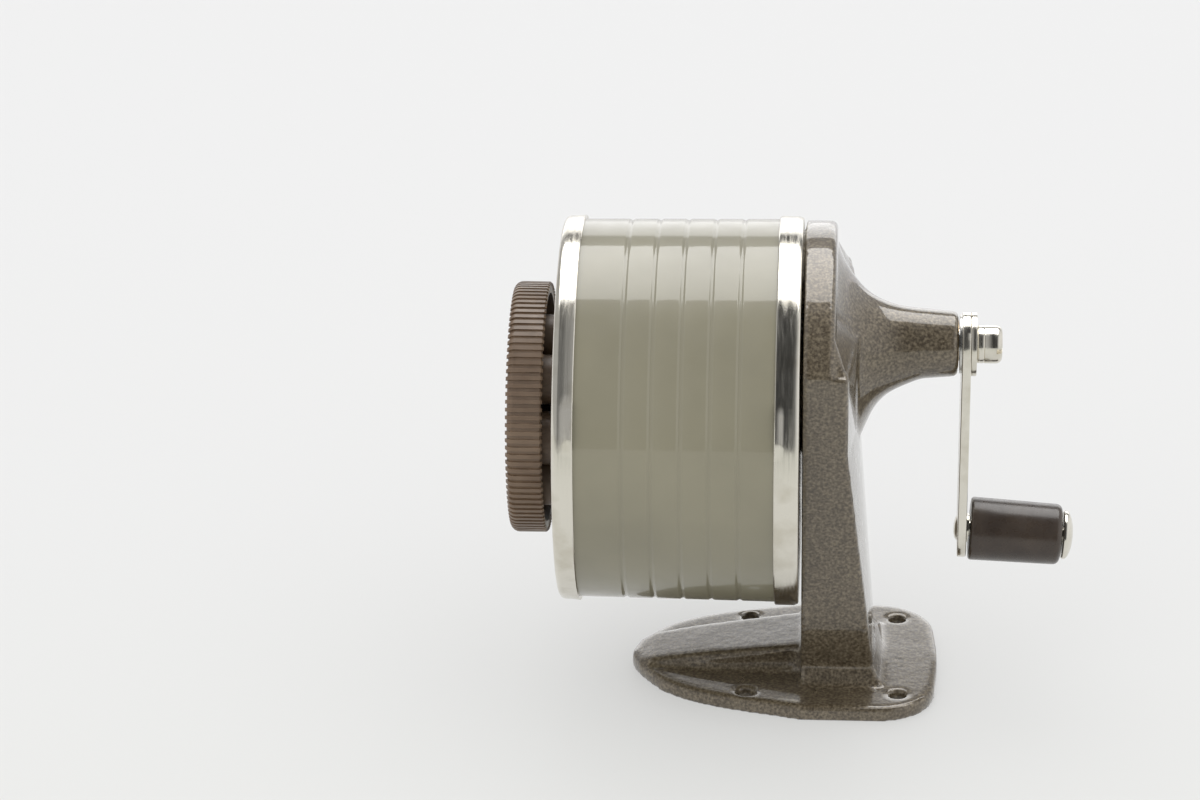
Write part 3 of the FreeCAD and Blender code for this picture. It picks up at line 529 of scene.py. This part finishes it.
@dataclass
class Lathe:
    """Turns outlines about a line along X, by extruding and scaling a circle."""

    centre_z: float
    centre_y: float = 0.0
    segments: int = 128

    def turn(self, name: str, outline: Outline, hollow: bool = False,
             angle: float = 35.0) -> bpy.types.Object:
        """Turn an outline of (x, radius) points into a closed piece.

        Args:
            name: the piece's name.
            outline: the points, in order.
            hollow: whether the outline closes on itself, as a ring's section does.
            angle: sharpest edge, in degrees, that is shaded smooth.
        Returns:
            The piece.
        """
        rest_hands()
        x, radius = outline[0]
        bpy.ops.mesh.primitive_circle_add(vertices=self.segments, radius=radius,
                                          location=(x, self.centre_y, self.centre_z),
                                          rotation=(0.0, math.pi / 2, 0.0))
        piece = finish_place(name)
        bpy.ops.object.mode_set(mode="EDIT")
        bpy.ops.mesh.select_mode(type="VERT")
        bpy.ops.mesh.select_all(action="SELECT")
        loop = outline[1:] + (outline[:1] if hollow else [])
        for next_x, next_radius in loop:
            bpy.ops.mesh.extrude_region_move(
                TRANSFORM_OT_translate={"value": (next_x - x, 0.0, 0.0)})
            scale = next_radius / radius
            bpy.ops.transform.resize(value=(1.0, scale, scale),
                                     center_override=(next_x, self.centre_y, self.centre_z))
            x, radius = next_x, next_radius
        bpy.ops.mesh.select_all(action="SELECT")
        bpy.ops.mesh.remove_doubles(threshold=0.002 * MM)
        if not hollow:
            bpy.ops.mesh.fill_holes(sides=0)
            bpy.ops.mesh.select_all(action="SELECT")
        bpy.ops.mesh.normals_make_consistent(inside=False)
        self.shade(piece, angle)
        return piece

    def shade(self, piece: bpy.types.Object, angle: float = 35.0) -> None:
        """Shade a piece smooth up to an edge angle.

        Args:
            piece: the piece.
            angle: the angle in degrees.
        """
        rest_hands()
        bpy.context.view_layer.objects.active = piece
        piece.select_set(True)
        bpy.ops.object.shade_smooth_by_angle(angle=math.radians(angle))


def pick_faces(piece: bpy.types.Object, wanted: Callable[[Vector, Vector], bool]) -> None:
    """In edit mode, select only the faces for which a test on centre and normal is true.

    Args:
        piece: the piece, in edit mode.
        wanted: function of a face's centre and normal.
    """
    bpy.ops.mesh.select_mode(type="FACE")
    bpy.ops.mesh.select_all(action="DESELECT")
    bpy.ops.object.mode_set(mode="OBJECT")
    for face in piece.data.polygons:
        face.select = bool(wanted(face.center, face.normal))
    bpy.ops.object.mode_set(mode="EDIT")


def apply_modifier(piece: bpy.types.Object, kind: str, **values: object) -> None:
    """Add a modifier, set it up and apply it.

    Args:
        piece: the piece.
        kind: the modifier's type.
        values: its properties.
    """
    rest_hands()
    bpy.context.view_layer.objects.active = piece
    piece.select_set(True)
    modifier = piece.modifiers.new(kind.lower(), kind)
    for key, value in values.items():
        setattr(modifier, key, value)
    bpy.ops.object.modifier_apply(modifier=modifier.name)


def cut_away(piece: bpy.types.Object) -> None:
    """Cut the active object's shape out of a piece, then throw the cutter away.

    Args:
        piece: the piece to cut.
    """
    cutter = finish_place("cutter")
    apply_modifier(piece, "BOOLEAN", object=cutter, operation="DIFFERENCE", solver="EXACT")
    bpy.data.objects.remove(cutter)


def cut_hole(piece: bpy.types.Object, radius: float, place: tuple[float, float, float],
             depth: float, vertices: int) -> None:
    """Cut a round hole along X through a piece.

    Args:
        piece: the piece.
        radius: the hole's radius.
        place: a place on the hole's axis, inside the wall.
        depth: length of the cut.
        vertices: number of sides of the hole.
    """
    rest_hands()
    bpy.ops.mesh.primitive_cylinder_add(vertices=vertices, radius=radius, depth=depth,
                                        location=place, rotation=(0.0, math.pi / 2, 0.0))
    cut_away(piece)


def copy_of_node(node: str, name: str) -> bpy.types.Object:
    """Copy a CAD node's mesh into a new piece and weld its loose triangles.

    Args:
        node: the CAD node.
        name: the new piece's name.
    Returns:
        The piece.
    """
    rest_hands()
    source = frame["nodes"][node]
    piece = bpy.data.objects.new(name, source.data.copy())
    piece.data.name = name
    bpy.context.scene.collection.objects.link(piece)
    bpy.context.view_layer.objects.active = piece
    piece.select_set(True)
    bpy.ops.object.mode_set(mode="EDIT")
    bpy.ops.mesh.select_all(action="SELECT")
    bpy.ops.mesh.remove_doubles(threshold=0.002 * MM)
    bpy.ops.object.mode_set(mode="OBJECT")
    return piece


def join_pieces(pieces: list[bpy.types.Object]) -> bpy.types.Object:
    """Join pieces into the first one.

    Args:
        pieces: the pieces.
    Returns:
        The joined piece.
    """
    rest_hands()
    for piece in pieces:
        piece.select_set(True)
    bpy.context.view_layer.objects.active = pieces[0]
    bpy.ops.object.join()
    return bpy.context.object


def hand_in(piece: bpy.types.Object, body: Body, slot: Slot, *nodes: str) -> None:
    """Dress a finished piece, let it ride on its body and stand for its CAD nodes.

    Args:
        piece: the piece.
        body: the body that it moves with.
        slot: its finish.
        nodes: CAD nodes that it replaces.
    """
    PAINTS.dress(piece, slot)
    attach(piece, body.value)
    if nodes:
        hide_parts(*nodes)
    LOG.info("%s: %d faces on %s", piece.name, len(piece.data.polygons), body.value)


def node_centre(node: str) -> Vector:
    """Middle of a CAD node's box.

    Args:
        node: the CAD node.
    Returns:
        The point.
    """
    low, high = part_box(node)
    return (Vector(low) + Vector(high)) / 2


def place_x(node: str, corner: int) -> float:
    """Place along X of one end of a CAD node.

    Args:
        node: the CAD node.
        corner: 0 for the end towards the pencil, 1 for the end towards the crank.
    Returns:
        The place.
    """
    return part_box(node)[corner][0]


def length_x(node: str) -> float:
    """Length of a CAD node along X.

    Args:
        node: the CAD node.
    Returns:
        The length.
    """
    return place_x(node, 1) - place_x(node, 0)


def half_across(node: str) -> float:
    """How far a CAD node reaches across, from the middle.

    Args:
        node: the CAD node.
    Returns:
        The reach along Y.
    """
    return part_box(node)[1][1]


# --- the sharpener's pieces -----------------------------------------------------------------
@dataclass
class Stand:
    """The cast stand, with softly rounded edges under thick enamel."""

    voxel: float = 0.6 * MM
    rounds: int = 5

    def casting(self) -> bpy.types.Object:
        """Round the casting's edges and fillets as a foundry pattern has them.

        Returns:
            The casting.
        """
        piece = copy_of_node("stand_casting", "casting_body")
        apply_modifier(piece, "REMESH", mode="VOXEL", voxel_size=self.voxel,
                       use_smooth_shade=True)
        apply_modifier(piece, "SMOOTH", factor=0.5, iterations=self.rounds)
        return piece

    def build(self) -> None:
        """Build and dress the stand."""
        hand_in(self.casting(), Body.STAND, Slot.HAMMERTONE, "stand_casting")


@dataclass
class Receptacle:
    """The shavings drum: ribbed tube and plated end bands with pressed tabs."""

    front_x: float = field(default_factory=lambda: place_x("front_cap", 0))
    back_x: float = field(default_factory=lambda: place_x("rear_ring", 1))
    front_band: float = field(default_factory=lambda: length_x("front_cap"))
    rear_band: float = field(default_factory=lambda: length_x("rear_ring"))
    front_band_r: float = field(default_factory=lambda: half_across("front_cap"))
    rear_band_r: float = field(default_factory=lambda: half_across("rear_ring"))
    drum_front_r: float = 43.95 * MM
    drum_back_r: float = 44.46 * MM
    wall: float = 0.6 * MM
    plate: float = 0.8 * MM
    corner: float = 1.5 * MM
    crown: float = 0.22 * MM
    grooves: int = 5
    groove_pitch: float = 6.56 * MM
    last_groove_x: float = -19.2 * MM
    groove_half: float = 0.62 * MM
    groove_depth: float = 0.3 * MM
    opening_r: float = 25.5 * MM
    lip: float = 3.2 * MM
    lip_wall: float = 0.5 * MM
    pencil_hole_r: float = 7.0 * MM
    rivet_r: float = 2.5 * MM
    tabs: int = 3
    tab_start: float = 71.5
    tab_angle: float = 13.5
    tab_rise: float = 0.55 * MM
    tab_run: float = 2.4 * MM
    tab_top: float = 0.8
    front_roll: float = 0.2 * MM
    rear_roll: float = 0.25 * MM
    axle_r: float = 1.0 * MM
    hole_depth: float = 8.0 * MM
    hole_sides: int = 96
    segments: int = 192
    drum_z: float = field(default_factory=lambda: node_centre("drum_tube").z)
    cutter_z: float = field(default_factory=lambda: node_centre("crank_shaft").z)

    def drum_radius(self, x: float) -> float:
        """Outer radius of the tube at one place along X.

        Args:
            x: the place.
        Returns:
            The radius.
        """
        front = self.front_x + self.front_band
        back = self.back_x - self.rear_band
        share = min(max((x - front) / (back - front), 0.0), 1.0)
        return self.drum_front_r + share * (self.drum_back_r - self.drum_front_r)

    def wall_line(self, inset: float) -> Outline:
        """Line of the tube's wall from front to back, moved in by inset.

        Args:
            inset: distance from the outer surface.
        Returns:
            The points.
        """
        start = self.front_x + self.plate
        points = [(start, self.drum_front_r - inset),
                  (self.front_x + self.front_band, self.drum_front_r - inset)]
        for index in range(self.grooves - 1, -1, -1):
            middle = self.last_groove_x - index * self.groove_pitch
            for step in range(-6, 7):
                x = middle + self.groove_half * 1.35 * step / 6
                dip = 0.5 + 0.5 * math.cos(math.pi * min(abs(step) / 6, 1.0))
                points.append((x, self.drum_radius(x) - inset - self.groove_depth * dip))
        points.append((self.back_x - self.rear_band, self.drum_back_r - inset))
        points.append((self.back_x - self.plate, self.drum_back_r - inset))
        return points

    def drum(self) -> bpy.types.Object:
        """Turn the thin tube with its rolled grooves.

        Returns:
            The tube.
        """
        outline = self.wall_line(0.0) + self.wall_line(self.wall)[::-1]
        return Lathe(self.drum_z, segments=self.segments).turn("drum_shell", outline, True)

    def raise_tabs(self, band: bpy.types.Object, edge_x: float, inner_r: float) -> None:
        """Press the tabs out of the edge of a band.

        Args:
            band: the band, in object mode.
            edge_x: place of the band's edge on the tube side.
            inner_r: radius inside the band.
        """
        mesh = band.data
        for tab in range(self.tabs):
            middle = self.tab_start + tab * 360.0 / self.tabs
            rest_hands()
            for corner in mesh.vertices:
                away = Vector((0.0, corner.co.y, corner.co.z - self.drum_z))
                angle = math.degrees(math.atan2(-away.y, away.z)) % 360.0
                near = abs((angle - middle + 180.0) % 360.0 - 180.0) < self.tab_angle / 2
                run = 1.0 - abs(corner.co.x - edge_x) / self.tab_run
                if near and run > 0.0 and away.length > inner_r - 0.05 * MM:
                    lift = self.tab_rise * min(run / self.tab_top, 1.0)
                    corner.co += away.normalized() * lift
        mesh.update()

    def cap(self) -> bpy.types.Object:
        """Turn the front cap, with its round corner, openings and tabs.

        Returns:
            The cap.
        """
        back = self.front_x + self.front_band
        inner = self.drum_front_r
        outer = self.front_band_r - self.crown
        roll = self.front_roll
        rows = [back - self.tab_run * share for share in (0.0, 0.25, 0.5, 0.75, 1.0)]
        outline = [(self.front_x, self.axle_r)]
        outline += arc((self.front_x + self.corner, outer - self.corner), self.corner,
                       180.0, 90.0, 8)
        crown = self.crown / self.tab_run
        outline += [(x, outer + (x - rows[-1]) * crown) for x in reversed(rows[1:])]
        outer += self.crown
        outline += [(back - roll, outer), (back, outer - roll), (back, inner)]
        outline += [(x, inner) for x in rows[1:]]
        outline += [(self.front_x + self.plate, inner), (self.front_x + self.plate, self.axle_r)]
        cap = Lathe(self.drum_z, segments=self.segments).turn("front_cap_shell", outline)
        self.raise_tabs(cap, back, inner)
        for radius, z in ((self.pencil_hole_r, self.cutter_z), (self.rivet_r, self.drum_z)):
            cut_hole(cap, radius, (self.front_x, 0.0, z), self.hole_depth, self.hole_sides)
        Lathe(self.drum_z).shade(cap)
        return cap

    def rear(self) -> bpy.types.Object:
        """Turn the rear ring, with its off-centre opening, lip and tabs.

        Returns:
            The ring.
        """
        front = self.back_x - self.rear_band
        inner = self.drum_back_r
        outer = self.rear_band_r
        roll = self.rear_roll
        rows = [front + self.tab_run * share for share in (0.0, 0.25, 0.5, 0.75, 1.0)]
        flange = self.back_x - self.plate
        outline = [(self.back_x, self.axle_r), (self.back_x, outer - 3 * roll)]
        outline += arc((self.back_x - 2 * roll, outer - 3 * roll), 2 * roll, 0.0, 80.0, 4)
        outline += [(self.back_x - 4 * roll, outer)]
        outline += [(x, outer) for x in reversed(rows[1:])]
        outline += [(front + roll, outer), (front, outer - roll), (front, inner)]
        outline += [(x, inner) for x in rows[1:]]
        outline += [(flange, inner), (flange, self.axle_r)]
        ring = Lathe(self.drum_z, segments=self.segments).turn("rear_band_shell", outline)
        self.raise_tabs(ring, front, inner)
        cut_hole(ring, self.opening_r, (flange, 0.0, self.cutter_z), self.hole_depth,
                 self.hole_sides)
        hole = self.opening_r
        rim = hole + self.lip_wall
        lip = [(self.back_x, hole), (self.back_x, rim), (flange - self.lip, rim),
               (flange - self.lip, hole)]
        collar = Lathe(self.cutter_z, segments=self.segments).turn("rear_lip", lip, True)
        ring = join_pieces([ring, collar])
        Lathe(self.drum_z).shade(ring)
        return ring

    def build(self) -> None:
        """Build and dress the receptacle."""
        hand_in(self.drum(), Body.RECEPTACLE, Slot.DRUM, "drum_tube")
        hand_in(self.cap(), Body.RECEPTACLE, Slot.NICKEL, "front_cap")
        hand_in(self.rear(), Body.RECEPTACLE, Slot.NICKEL, "rear_ring")


@dataclass
class Dial:
    """Ridged dial with eight pencil holes and the guide tubes behind them."""

    radius: float = 29.2 * MM
    width: float = 7.8 * MM
    rim: float = 2.6 * MM
    face: float = 2.4 * MM
    ridge: float = 0.45 * MM
    ridges: int = 100
    edge: float = 1.5 * MM
    hub_r: float = 6.0 * MM
    recess_r: float = 5.5 * MM
    recess: float = 1.8 * MM
    bore_r: float = 2.55 * MM
    offset: float = 17.5 * MM
    tube_wall: float = 1.0 * MM
    tube_bite: float = 0.02 * MM
    lead: float = 0.5 * MM
    tube_sides: int = 48
    hole_sides: int = 64
    holes: int = 8
    smallest: float = 3.0 * MM
    step: float = 0.35 * MM
    top_hole: int = 4

    def body(self, front: float, z: float) -> bpy.types.Object:
        """Turn the cup and raise its ridges.

        Args:
            front: place of the front face along X.
            z: height of the dial's axis.
        Returns:
            The cup.
        """
        back = front + self.width
        low = self.radius - self.ridge
        centre = (front + self.edge, low - self.edge)
        outline = [(front + self.recess, self.bore_r), (front + self.recess, self.recess_r),
                   (front + 0.2 * MM, self.recess_r), (front, self.recess_r + 0.2 * MM),
                   (front, low - 4.2 * MM), (front + 0.25 * MM, low - 3.9 * MM),
                   (front + 0.25 * MM, low - 3.3 * MM), (front, low - 3.0 * MM)]
        outline += arc(centre, self.edge, 180.0, 90.0, 5)
        outline += [(back - 0.3 * MM, low), (back, low - 0.3 * MM),
                    (back, self.radius - self.rim), (front + self.face + 0.4 * MM,
                                                     self.radius - self.rim),
                    (front + self.face, self.radius - self.rim - 0.4 * MM),
                    (front + self.face, self.bore_r)]
        lathe = Lathe(z, segments=4 * self.ridges)
        cup = lathe.turn("dial_body", outline, True)
        rest_hands()
        bpy.context.view_layer.objects.active = cup
        bpy.ops.object.mode_set(mode="EDIT")

        def on_ridge(centre: Vector, normal: Vector) -> bool:
            """Whether a face lies on the outside of a ridge.

            Args:
                centre: the face's centre.
                normal: the face's normal.
            Returns:
                True for a ridge's face.
            """
            away = math.hypot(centre.y, centre.z - z)
            angle = math.degrees(math.atan2(centre.y, centre.z - z)) % 360.0
            slot_number = int(angle / 360.0 * 4 * self.ridges) % 4
            outward = (normal.y * centre.y + normal.z * (centre.z - z)) / away
            outside = away > low - self.edge * 0.85 and outward > 0.3
            return outside and slot_number in (0, 1)

        pick_faces(cup, on_ridge)
        bpy.ops.mesh.extrude_region_shrink_fatten(
            TRANSFORM_OT_shrink_fatten={"value": self.ridge})
        bpy.ops.mesh.select_all(action="SELECT")
        bpy.ops.mesh.normals_make_consistent(inside=False)
        bpy.ops.object.mode_set(mode="OBJECT")
        return cup

    def hole_place(self, index: int, z: float) -> tuple[float, float]:
        """Where one pencil hole lies across the dial.

        Args:
            index: number of the hole, smallest first.
            z: height of the dial's axis.
        Returns:
            The hole's place along Y and its height.
        """
        angle = math.radians((index - self.top_hole) * 360.0 / self.holes)
        return -self.offset * math.sin(angle), z + self.offset * math.cos(angle)

    def tube(self, index: int, front: float, end: float, z: float) -> bpy.types.Object:
        """Turn one guide tube, with a rounded lead-in at the dial's face.

        Args:
            index: number of the hole, smallest first.
            front: place of the dial's face along X.
            end: place of the tube's free end.
            z: height of the dial's axis.
        Returns:
            The tube.
        """
        across, height = self.hole_place(index, z)
        bore = self.smallest + self.step * index
        outer = bore + self.tube_wall
        lead = self.lead
        lathe = Lathe(height, across, self.tube_sides)
        outline = [(front, outer), (front, bore + lead)]
        outline += arc((front + lead, bore + lead), lead, 180.0, 270.0, 3)[1:]
        outline += [(end, bore), (end, outer - 0.2 * MM), (end - 0.2 * MM, outer)]
        return lathe.turn("dial_tube", outline, True)

    def build(self) -> None:
        """Build and dress the dial."""
        low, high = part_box("pencil_dial")
        front, end = low[0], high[0]
        z = (low[2] + high[2]) / 2
        cup = self.body(front, z)
        pieces = [cup]
        for index in range(self.holes):
            radius = self.smallest + self.step * index + self.tube_wall - self.tube_bite
            place = (front, *self.hole_place(index, z))
            cut_hole(cup, radius, place, 4 * self.face, self.hole_sides)
            pieces.append(self.tube(index, front, end, z))
        hub = [(front + self.recess, self.bore_r), (end, self.bore_r), (end, self.hub_r),
               (front + self.recess, self.hub_r)]
        pieces.append(Lathe(z, segments=64).turn("dial_hub", hub, True))
        dial = join_pieces(pieces)
        Lathe(z).shade(dial, 40.0)
        hand_in(dial, Body.DIAL, Slot.DIAL, "pencil_dial")


@dataclass
class Crank:
    """Crank arm, its screw and split washer, and the knob on its rivet."""

    screw_r: float = 4.4 * MM
    slot_half: float = 0.55 * MM
    slot_depth: float = 1.4 * MM
    slot_length: float = 12.0 * MM
    droop: float = 3.5
    knob_r: float = 7.4 * MM
    knob_end_r: float = 7.1 * MM
    knob_gap: float = 0.8 * MM
    knob_length: float = 21.4 * MM
    rivet_r: float = 2.0 * MM
    rivet_head_r: float = 5.7 * MM
    rivet_head: float = 2.5 * MM
    arm_length: float = 46.9 * MM
    play: float = 0.05 * MM
    head_length: float = 5.9 * MM
    plate_edge: float = 0.25 * MM
    washer_edge: float = 0.2 * MM
    arm_x: float = field(default_factory=lambda: place_x("crank_arm", 0))
    arm: float = field(default_factory=lambda: length_x("crank_arm"))
    screw_z: float = field(default_factory=lambda: node_centre("crank_screw").z)

    @property
    def knob_x(self) -> float:
        """Place of the knob's end towards the arm.

        Returns:
            The place along X.
        """
        return self.arm_x + self.arm + self.knob_gap

    @property
    def rivet_z(self) -> float:
        """Height of the knob's rivet where it goes through the arm.

        Returns:
            The height.
        """
        return self.screw_z - self.arm_length

    def drooped(self, piece: bpy.types.Object) -> bpy.types.Object:
        """Tip a piece on the knob axis down at its outer end.

        Args:
            piece: the piece, built along X.
        Returns:
            The same piece.
        """
        rest_hands()
        pivot = Vector((self.arm_x + self.arm, 0.0, self.rivet_z))
        turn = Matrix.Rotation(math.radians(self.droop), 4, "Y")
        piece.data.transform(Matrix.Translation(pivot) @ turn @ Matrix.Translation(-pivot))
        return piece

    def rounded_copy(self, node: str, name: str, radius: float) -> bpy.types.Object:
        """Copy a flat CAD piece and round its sharp edges.

        Args:
            node: the CAD node.
            name: the piece's name.
            radius: the rounding.
        Returns:
            The piece.
        """
        piece = copy_of_node(node, name)
        apply_modifier(piece, "BEVEL", width=radius, segments=2, limit_method="ANGLE",
                       angle_limit=math.radians(50.0), harden_normals=False)
        Lathe(0.0).shade(piece, 30.0)
        return piece

    def screw(self) -> bpy.types.Object:
        """Turn the screw's head with its rounded rims and cut its slot.

        Returns:
            The screw.
        """
        tip, end = place_x("crank_screw", 0), place_x("crank_screw", 1)
        start = end - self.head_length
        outline = [(tip, 1.0 * MM), (tip, 2.0 * MM), (start, 2.0 * MM),
                   (start, self.screw_r - 0.5 * MM)]
        outline += arc((start + 0.5 * MM, self.screw_r - 0.5 * MM), 0.5 * MM, 180.0, 90.0, 3)
        outline += [(start + 1.5 * MM, self.screw_r), (start + 1.7 * MM, self.screw_r - 0.12 * MM),
                    (start + 1.9 * MM, self.screw_r)]
        outline += arc((end - 1.5 * MM, self.screw_r - 1.5 * MM), 1.5 * MM, 90.0, 15.0, 6)
        outline += [(end, self.screw_r - 2.6 * MM)]
        screw = Lathe(self.screw_z, segments=64).turn("crank_screw_body", outline)
        rest_hands()
        bpy.ops.mesh.primitive_cube_add(size=1.0, location=(end, 0.0, self.screw_z),
                                        scale=(2 * self.slot_depth, self.slot_length,
                                               2 * self.slot_half))
        cut_away(screw)
        Lathe(self.screw_z).shade(screw)
        return screw

    def knob(self) -> bpy.types.Object:
        """Turn the grip, slightly thinner at its rounded outer end.

        Returns:
            The grip.
        """
        start = self.knob_x
        end = start + self.knob_length
        bore = self.rivet_r + self.play
        outline = [(start, bore), (start, self.knob_r - 0.7 * MM)]
        outline += arc((start + 0.7 * MM, self.knob_r - 0.7 * MM), 0.7 * MM, 180.0, 92.0, 4)
        outline += [(start + self.knob_length * 0.5, (self.knob_r + self.knob_end_r) / 2)]
        outline += arc((end - 1.5 * MM, self.knob_end_r - 1.5 * MM), 1.5 * MM, 88.0, 0.0, 6)
        outline += [(end, bore)]
        return self.drooped(Lathe(self.rivet_z, segments=96).turn("grip", outline, True))

    def rivet(self) -> bpy.types.Object:
        """Turn the rivet's domed head, shank, shoulder and clinched end.

        Returns:
            The rivet.
        """
        head = self.knob_x + self.knob_length + 0.3 * MM
        dome_high = self.rivet_head - 0.6 * MM
        outline = [(self.arm_x - 0.8 * MM, 0.4 * MM), (self.arm_x - 0.8 * MM, 1.2 * MM),
                   (self.arm_x - 0.5 * MM, 2.4 * MM), (self.arm_x - 0.05 * MM, 3.0 * MM),
                   (self.arm_x + 0.2 * MM, 3.0 * MM), (self.arm_x + 0.2 * MM, self.rivet_r),
                   (self.arm_x + self.arm - 0.2 * MM, self.rivet_r),
                   (self.arm_x + self.arm - 0.2 * MM, self.rivet_r + 1.4 * MM),
                   (self.knob_x - 0.3 * MM, self.rivet_r + 1.4 * MM),
                   (self.knob_x - 0.3 * MM, self.rivet_r), (head, self.rivet_r),
                   (head, self.rivet_head_r - 0.3 * MM), (head + 0.3 * MM, self.rivet_head_r)]
        for step in range(0, 9):
            angle = math.radians(90.0 * step / 9)
            outline.append((head + 0.6 * MM + dome_high * math.sin(angle),
                            self.rivet_head_r * math.cos(angle)))
        outline.append((head + 0.6 * MM + dome_high, 0.3 * MM))
        return self.drooped(Lathe(self.rivet_z, segments=72).turn("grip_rivet", outline))

    def build(self) -> None:
        """Build and dress the crank."""
        hand_in(self.rounded_copy("crank_arm", "arm_plate", self.plate_edge), Body.CRANK,
                Slot.NICKEL, "crank_arm")
        hand_in(self.rounded_copy("lock_washer", "split_washer", self.washer_edge), Body.CRANK,
                Slot.NICKEL, "lock_washer")
        hand_in(self.screw(), Body.CRANK, Slot.NICKEL, "crank_screw")
        hand_in(self.rivet(), Body.CRANK, Slot.NICKEL, "knob_rivet")
        hand_in(self.knob(), Body.KNOB, Slot.KNOB, "knob")


# Axis, start, end and level of each smooth step of the room's light in reflections.
ROOM_STEPS = (("Y", 0.875, 0.9, 1.9), ("X", -0.03, -0.4, 0.45), ("X", 0.25, 0.8, 0.9))


@dataclass
class Studio:
    """Pale floor that gives off light, a softbox for reflections, tent light and the camera."""

    floor_size: float = 9.0
    camera_place: Colour = (0.006795, -0.940763, 0.489667)
    yaw: float = 3.6072
    pitch: float = 24.060
    roll: float = -0.5577
    lens: float = 133.03
    box_place: Colour = (0.0, 0.41, 0.97)
    box_target: Colour = (0.0, 0.0, 0.07)
    box_size: tuple[float, float] = (1.3, 0.85)
    box_power: float = 13.5
    floor_glow: float = 0.43
    room_level: float = 0.05
    tent_level: float = 1.5

    def floor(self) -> None:
        """Lay the floor. It gives off some light of its own, most of it far behind the object."""
        rest_hands()
        bpy.ops.mesh.primitive_plane_add(size=self.floor_size, location=(0.0, 0.0, 0.0))
        floor = finish_place("floor")
        board = NodeBoard("floor_paper")
        split = board.add("ShaderNodeSeparateXYZ")
        board.join(board.place, split.inputs[0])
        ahead = board.spread(split.outputs["Y"], 0.0, 1.0, -0.4, 1.2)
        glow = board.ramp(ahead, [(0.0, (0.90, 0.91, 0.86)), (0.3, (1.0, 1.0, 1.0)),
                                  (0.75, (1.04, 1.04, 1.04)), (0.9, (1.5, 1.46, 1.5))])
        board.paint(board.ramp(ahead, [(0.0, (0.27, 0.272, 0.262)),
                                       (0.45, (0.28, 0.28, 0.28))]))
        board.join(glow, board.shader.inputs["Emission Color"])
        board.set(Roughness=0.6, Specular_IOR_Level=0.2, Emission_Strength=self.floor_glow)
        board.bump((board.noise(60.0, 2.0), 0.02, 0.1 * MM))
        floor.data.materials.append(board.material)

    def softbox(self) -> None:
        """Hang the softbox, which shows in reflections and leaves matte surfaces alone."""
        rest_hands()
        reach = Vector(self.box_target) - Vector(self.box_place)
        bpy.ops.object.light_add(type="AREA", location=self.box_place,
                                 rotation=reach.to_track_quat("-Z", "Y").to_euler())
        light = bpy.context.object
        light.name = "top_softbox"
        light.data.shape = "RECTANGLE"
        light.data.size, light.data.size_y = self.box_size
        light.data.energy = self.box_power
        light.visible_diffuse = False

    def surroundings(self) -> None:
        """Light the room as a tent does, with a bright back and a dark front in reflections.

        Matte surfaces see one even level all round. Glossy ones see the brightest of a few
        smooth steps along Y and X, so that plating and enamel keep their contrast.
        """
        world = bpy.data.worlds.new("surroundings")
        bpy.context.scene.world = world
        world.use_nodes = True
        tree = world.node_tree
        sky = next(n for n in tree.nodes if n.type == "BACKGROUND")
        split = tree.nodes.new("ShaderNodeSeparateXYZ")
        place = tree.nodes.new("ShaderNodeTexCoord")
        tree.links.new(place.outputs["Generated"], split.inputs[0])
        parts = []
        for axis, start, end, level in ROOM_STEPS:
            node = tree.nodes.new("ShaderNodeMapRange")
            node.interpolation_type = "SMOOTHSTEP"
            for key, number in (("From Min", start), ("From Max", end),
                                ("To Min", self.room_level), ("To Max", level)):
                node.inputs[key].default_value = number
            tree.links.new(split.outputs[axis], node.inputs["Value"])
            parts.append(node.outputs["Result"])
        brightest = parts[0]
        for part in parts[1:]:
            top = tree.nodes.new("ShaderNodeMath")
            top.operation = "MAXIMUM"
            tree.links.new(brightest, top.inputs[0])
            tree.links.new(part, top.inputs[1])
            brightest = top.outputs["Value"]
        path = tree.nodes.new("ShaderNodeLightPath")
        pick = tree.nodes.new("ShaderNodeMix")
        pick.data_type = "FLOAT"
        pick.inputs["B"].default_value = self.tent_level
        tree.links.new(path.outputs["Is Diffuse Ray"], pick.inputs["Factor"])
        tree.links.new(brightest, pick.inputs["A"])
        tree.links.new(pick.outputs["Result"], sky.inputs["Color"])
        sky.inputs["Strength"].default_value = 1.0

    def camera(self) -> None:
        """Place and turn the camera."""
        yaw, pitch, roll = (math.radians(a) for a in (self.yaw, self.pitch, self.roll))
        ahead = Vector((-math.sin(yaw) * math.cos(pitch), math.cos(yaw) * math.cos(pitch),
                        -math.sin(pitch)))
        side = Vector((math.cos(yaw), math.sin(yaw), 0.0))
        up = side.cross(ahead)
        right = side * math.cos(roll) + up * math.sin(roll)
        top = up * math.cos(roll) - side * math.sin(roll)
        rest_hands()
        bpy.ops.object.camera_add()
        camera = bpy.context.object
        camera.name = "camera"
        turn = Matrix((right, top, -ahead)).transposed().to_4x4()
        camera.matrix_world = Matrix.Translation(self.camera_place) @ turn
        camera.data.sensor_width = 36.0
        camera.data.lens = self.lens
        camera.data.clip_start = 0.05
        camera.data.clip_end = 30.0
        bpy.context.scene.camera = camera

    def build(self) -> None:
        """Set up the studio."""
        self.camera()
        self.floor()
        self.softbox()
        self.surroundings()
        bpy.context.scene.view_settings.view_transform = "Standard"


def main() -> None:
    """Build the sharpener's pieces in order."""
    logging.basicConfig(level=logging.INFO, format="%(name)s: %(message)s")
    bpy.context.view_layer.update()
    Studio().build()
    PAINTS.dress_nodes()
    Stand().build()
    Receptacle().build()
    Dial().build()
    Crank().build()


if __name__ == "__main__":
    main()
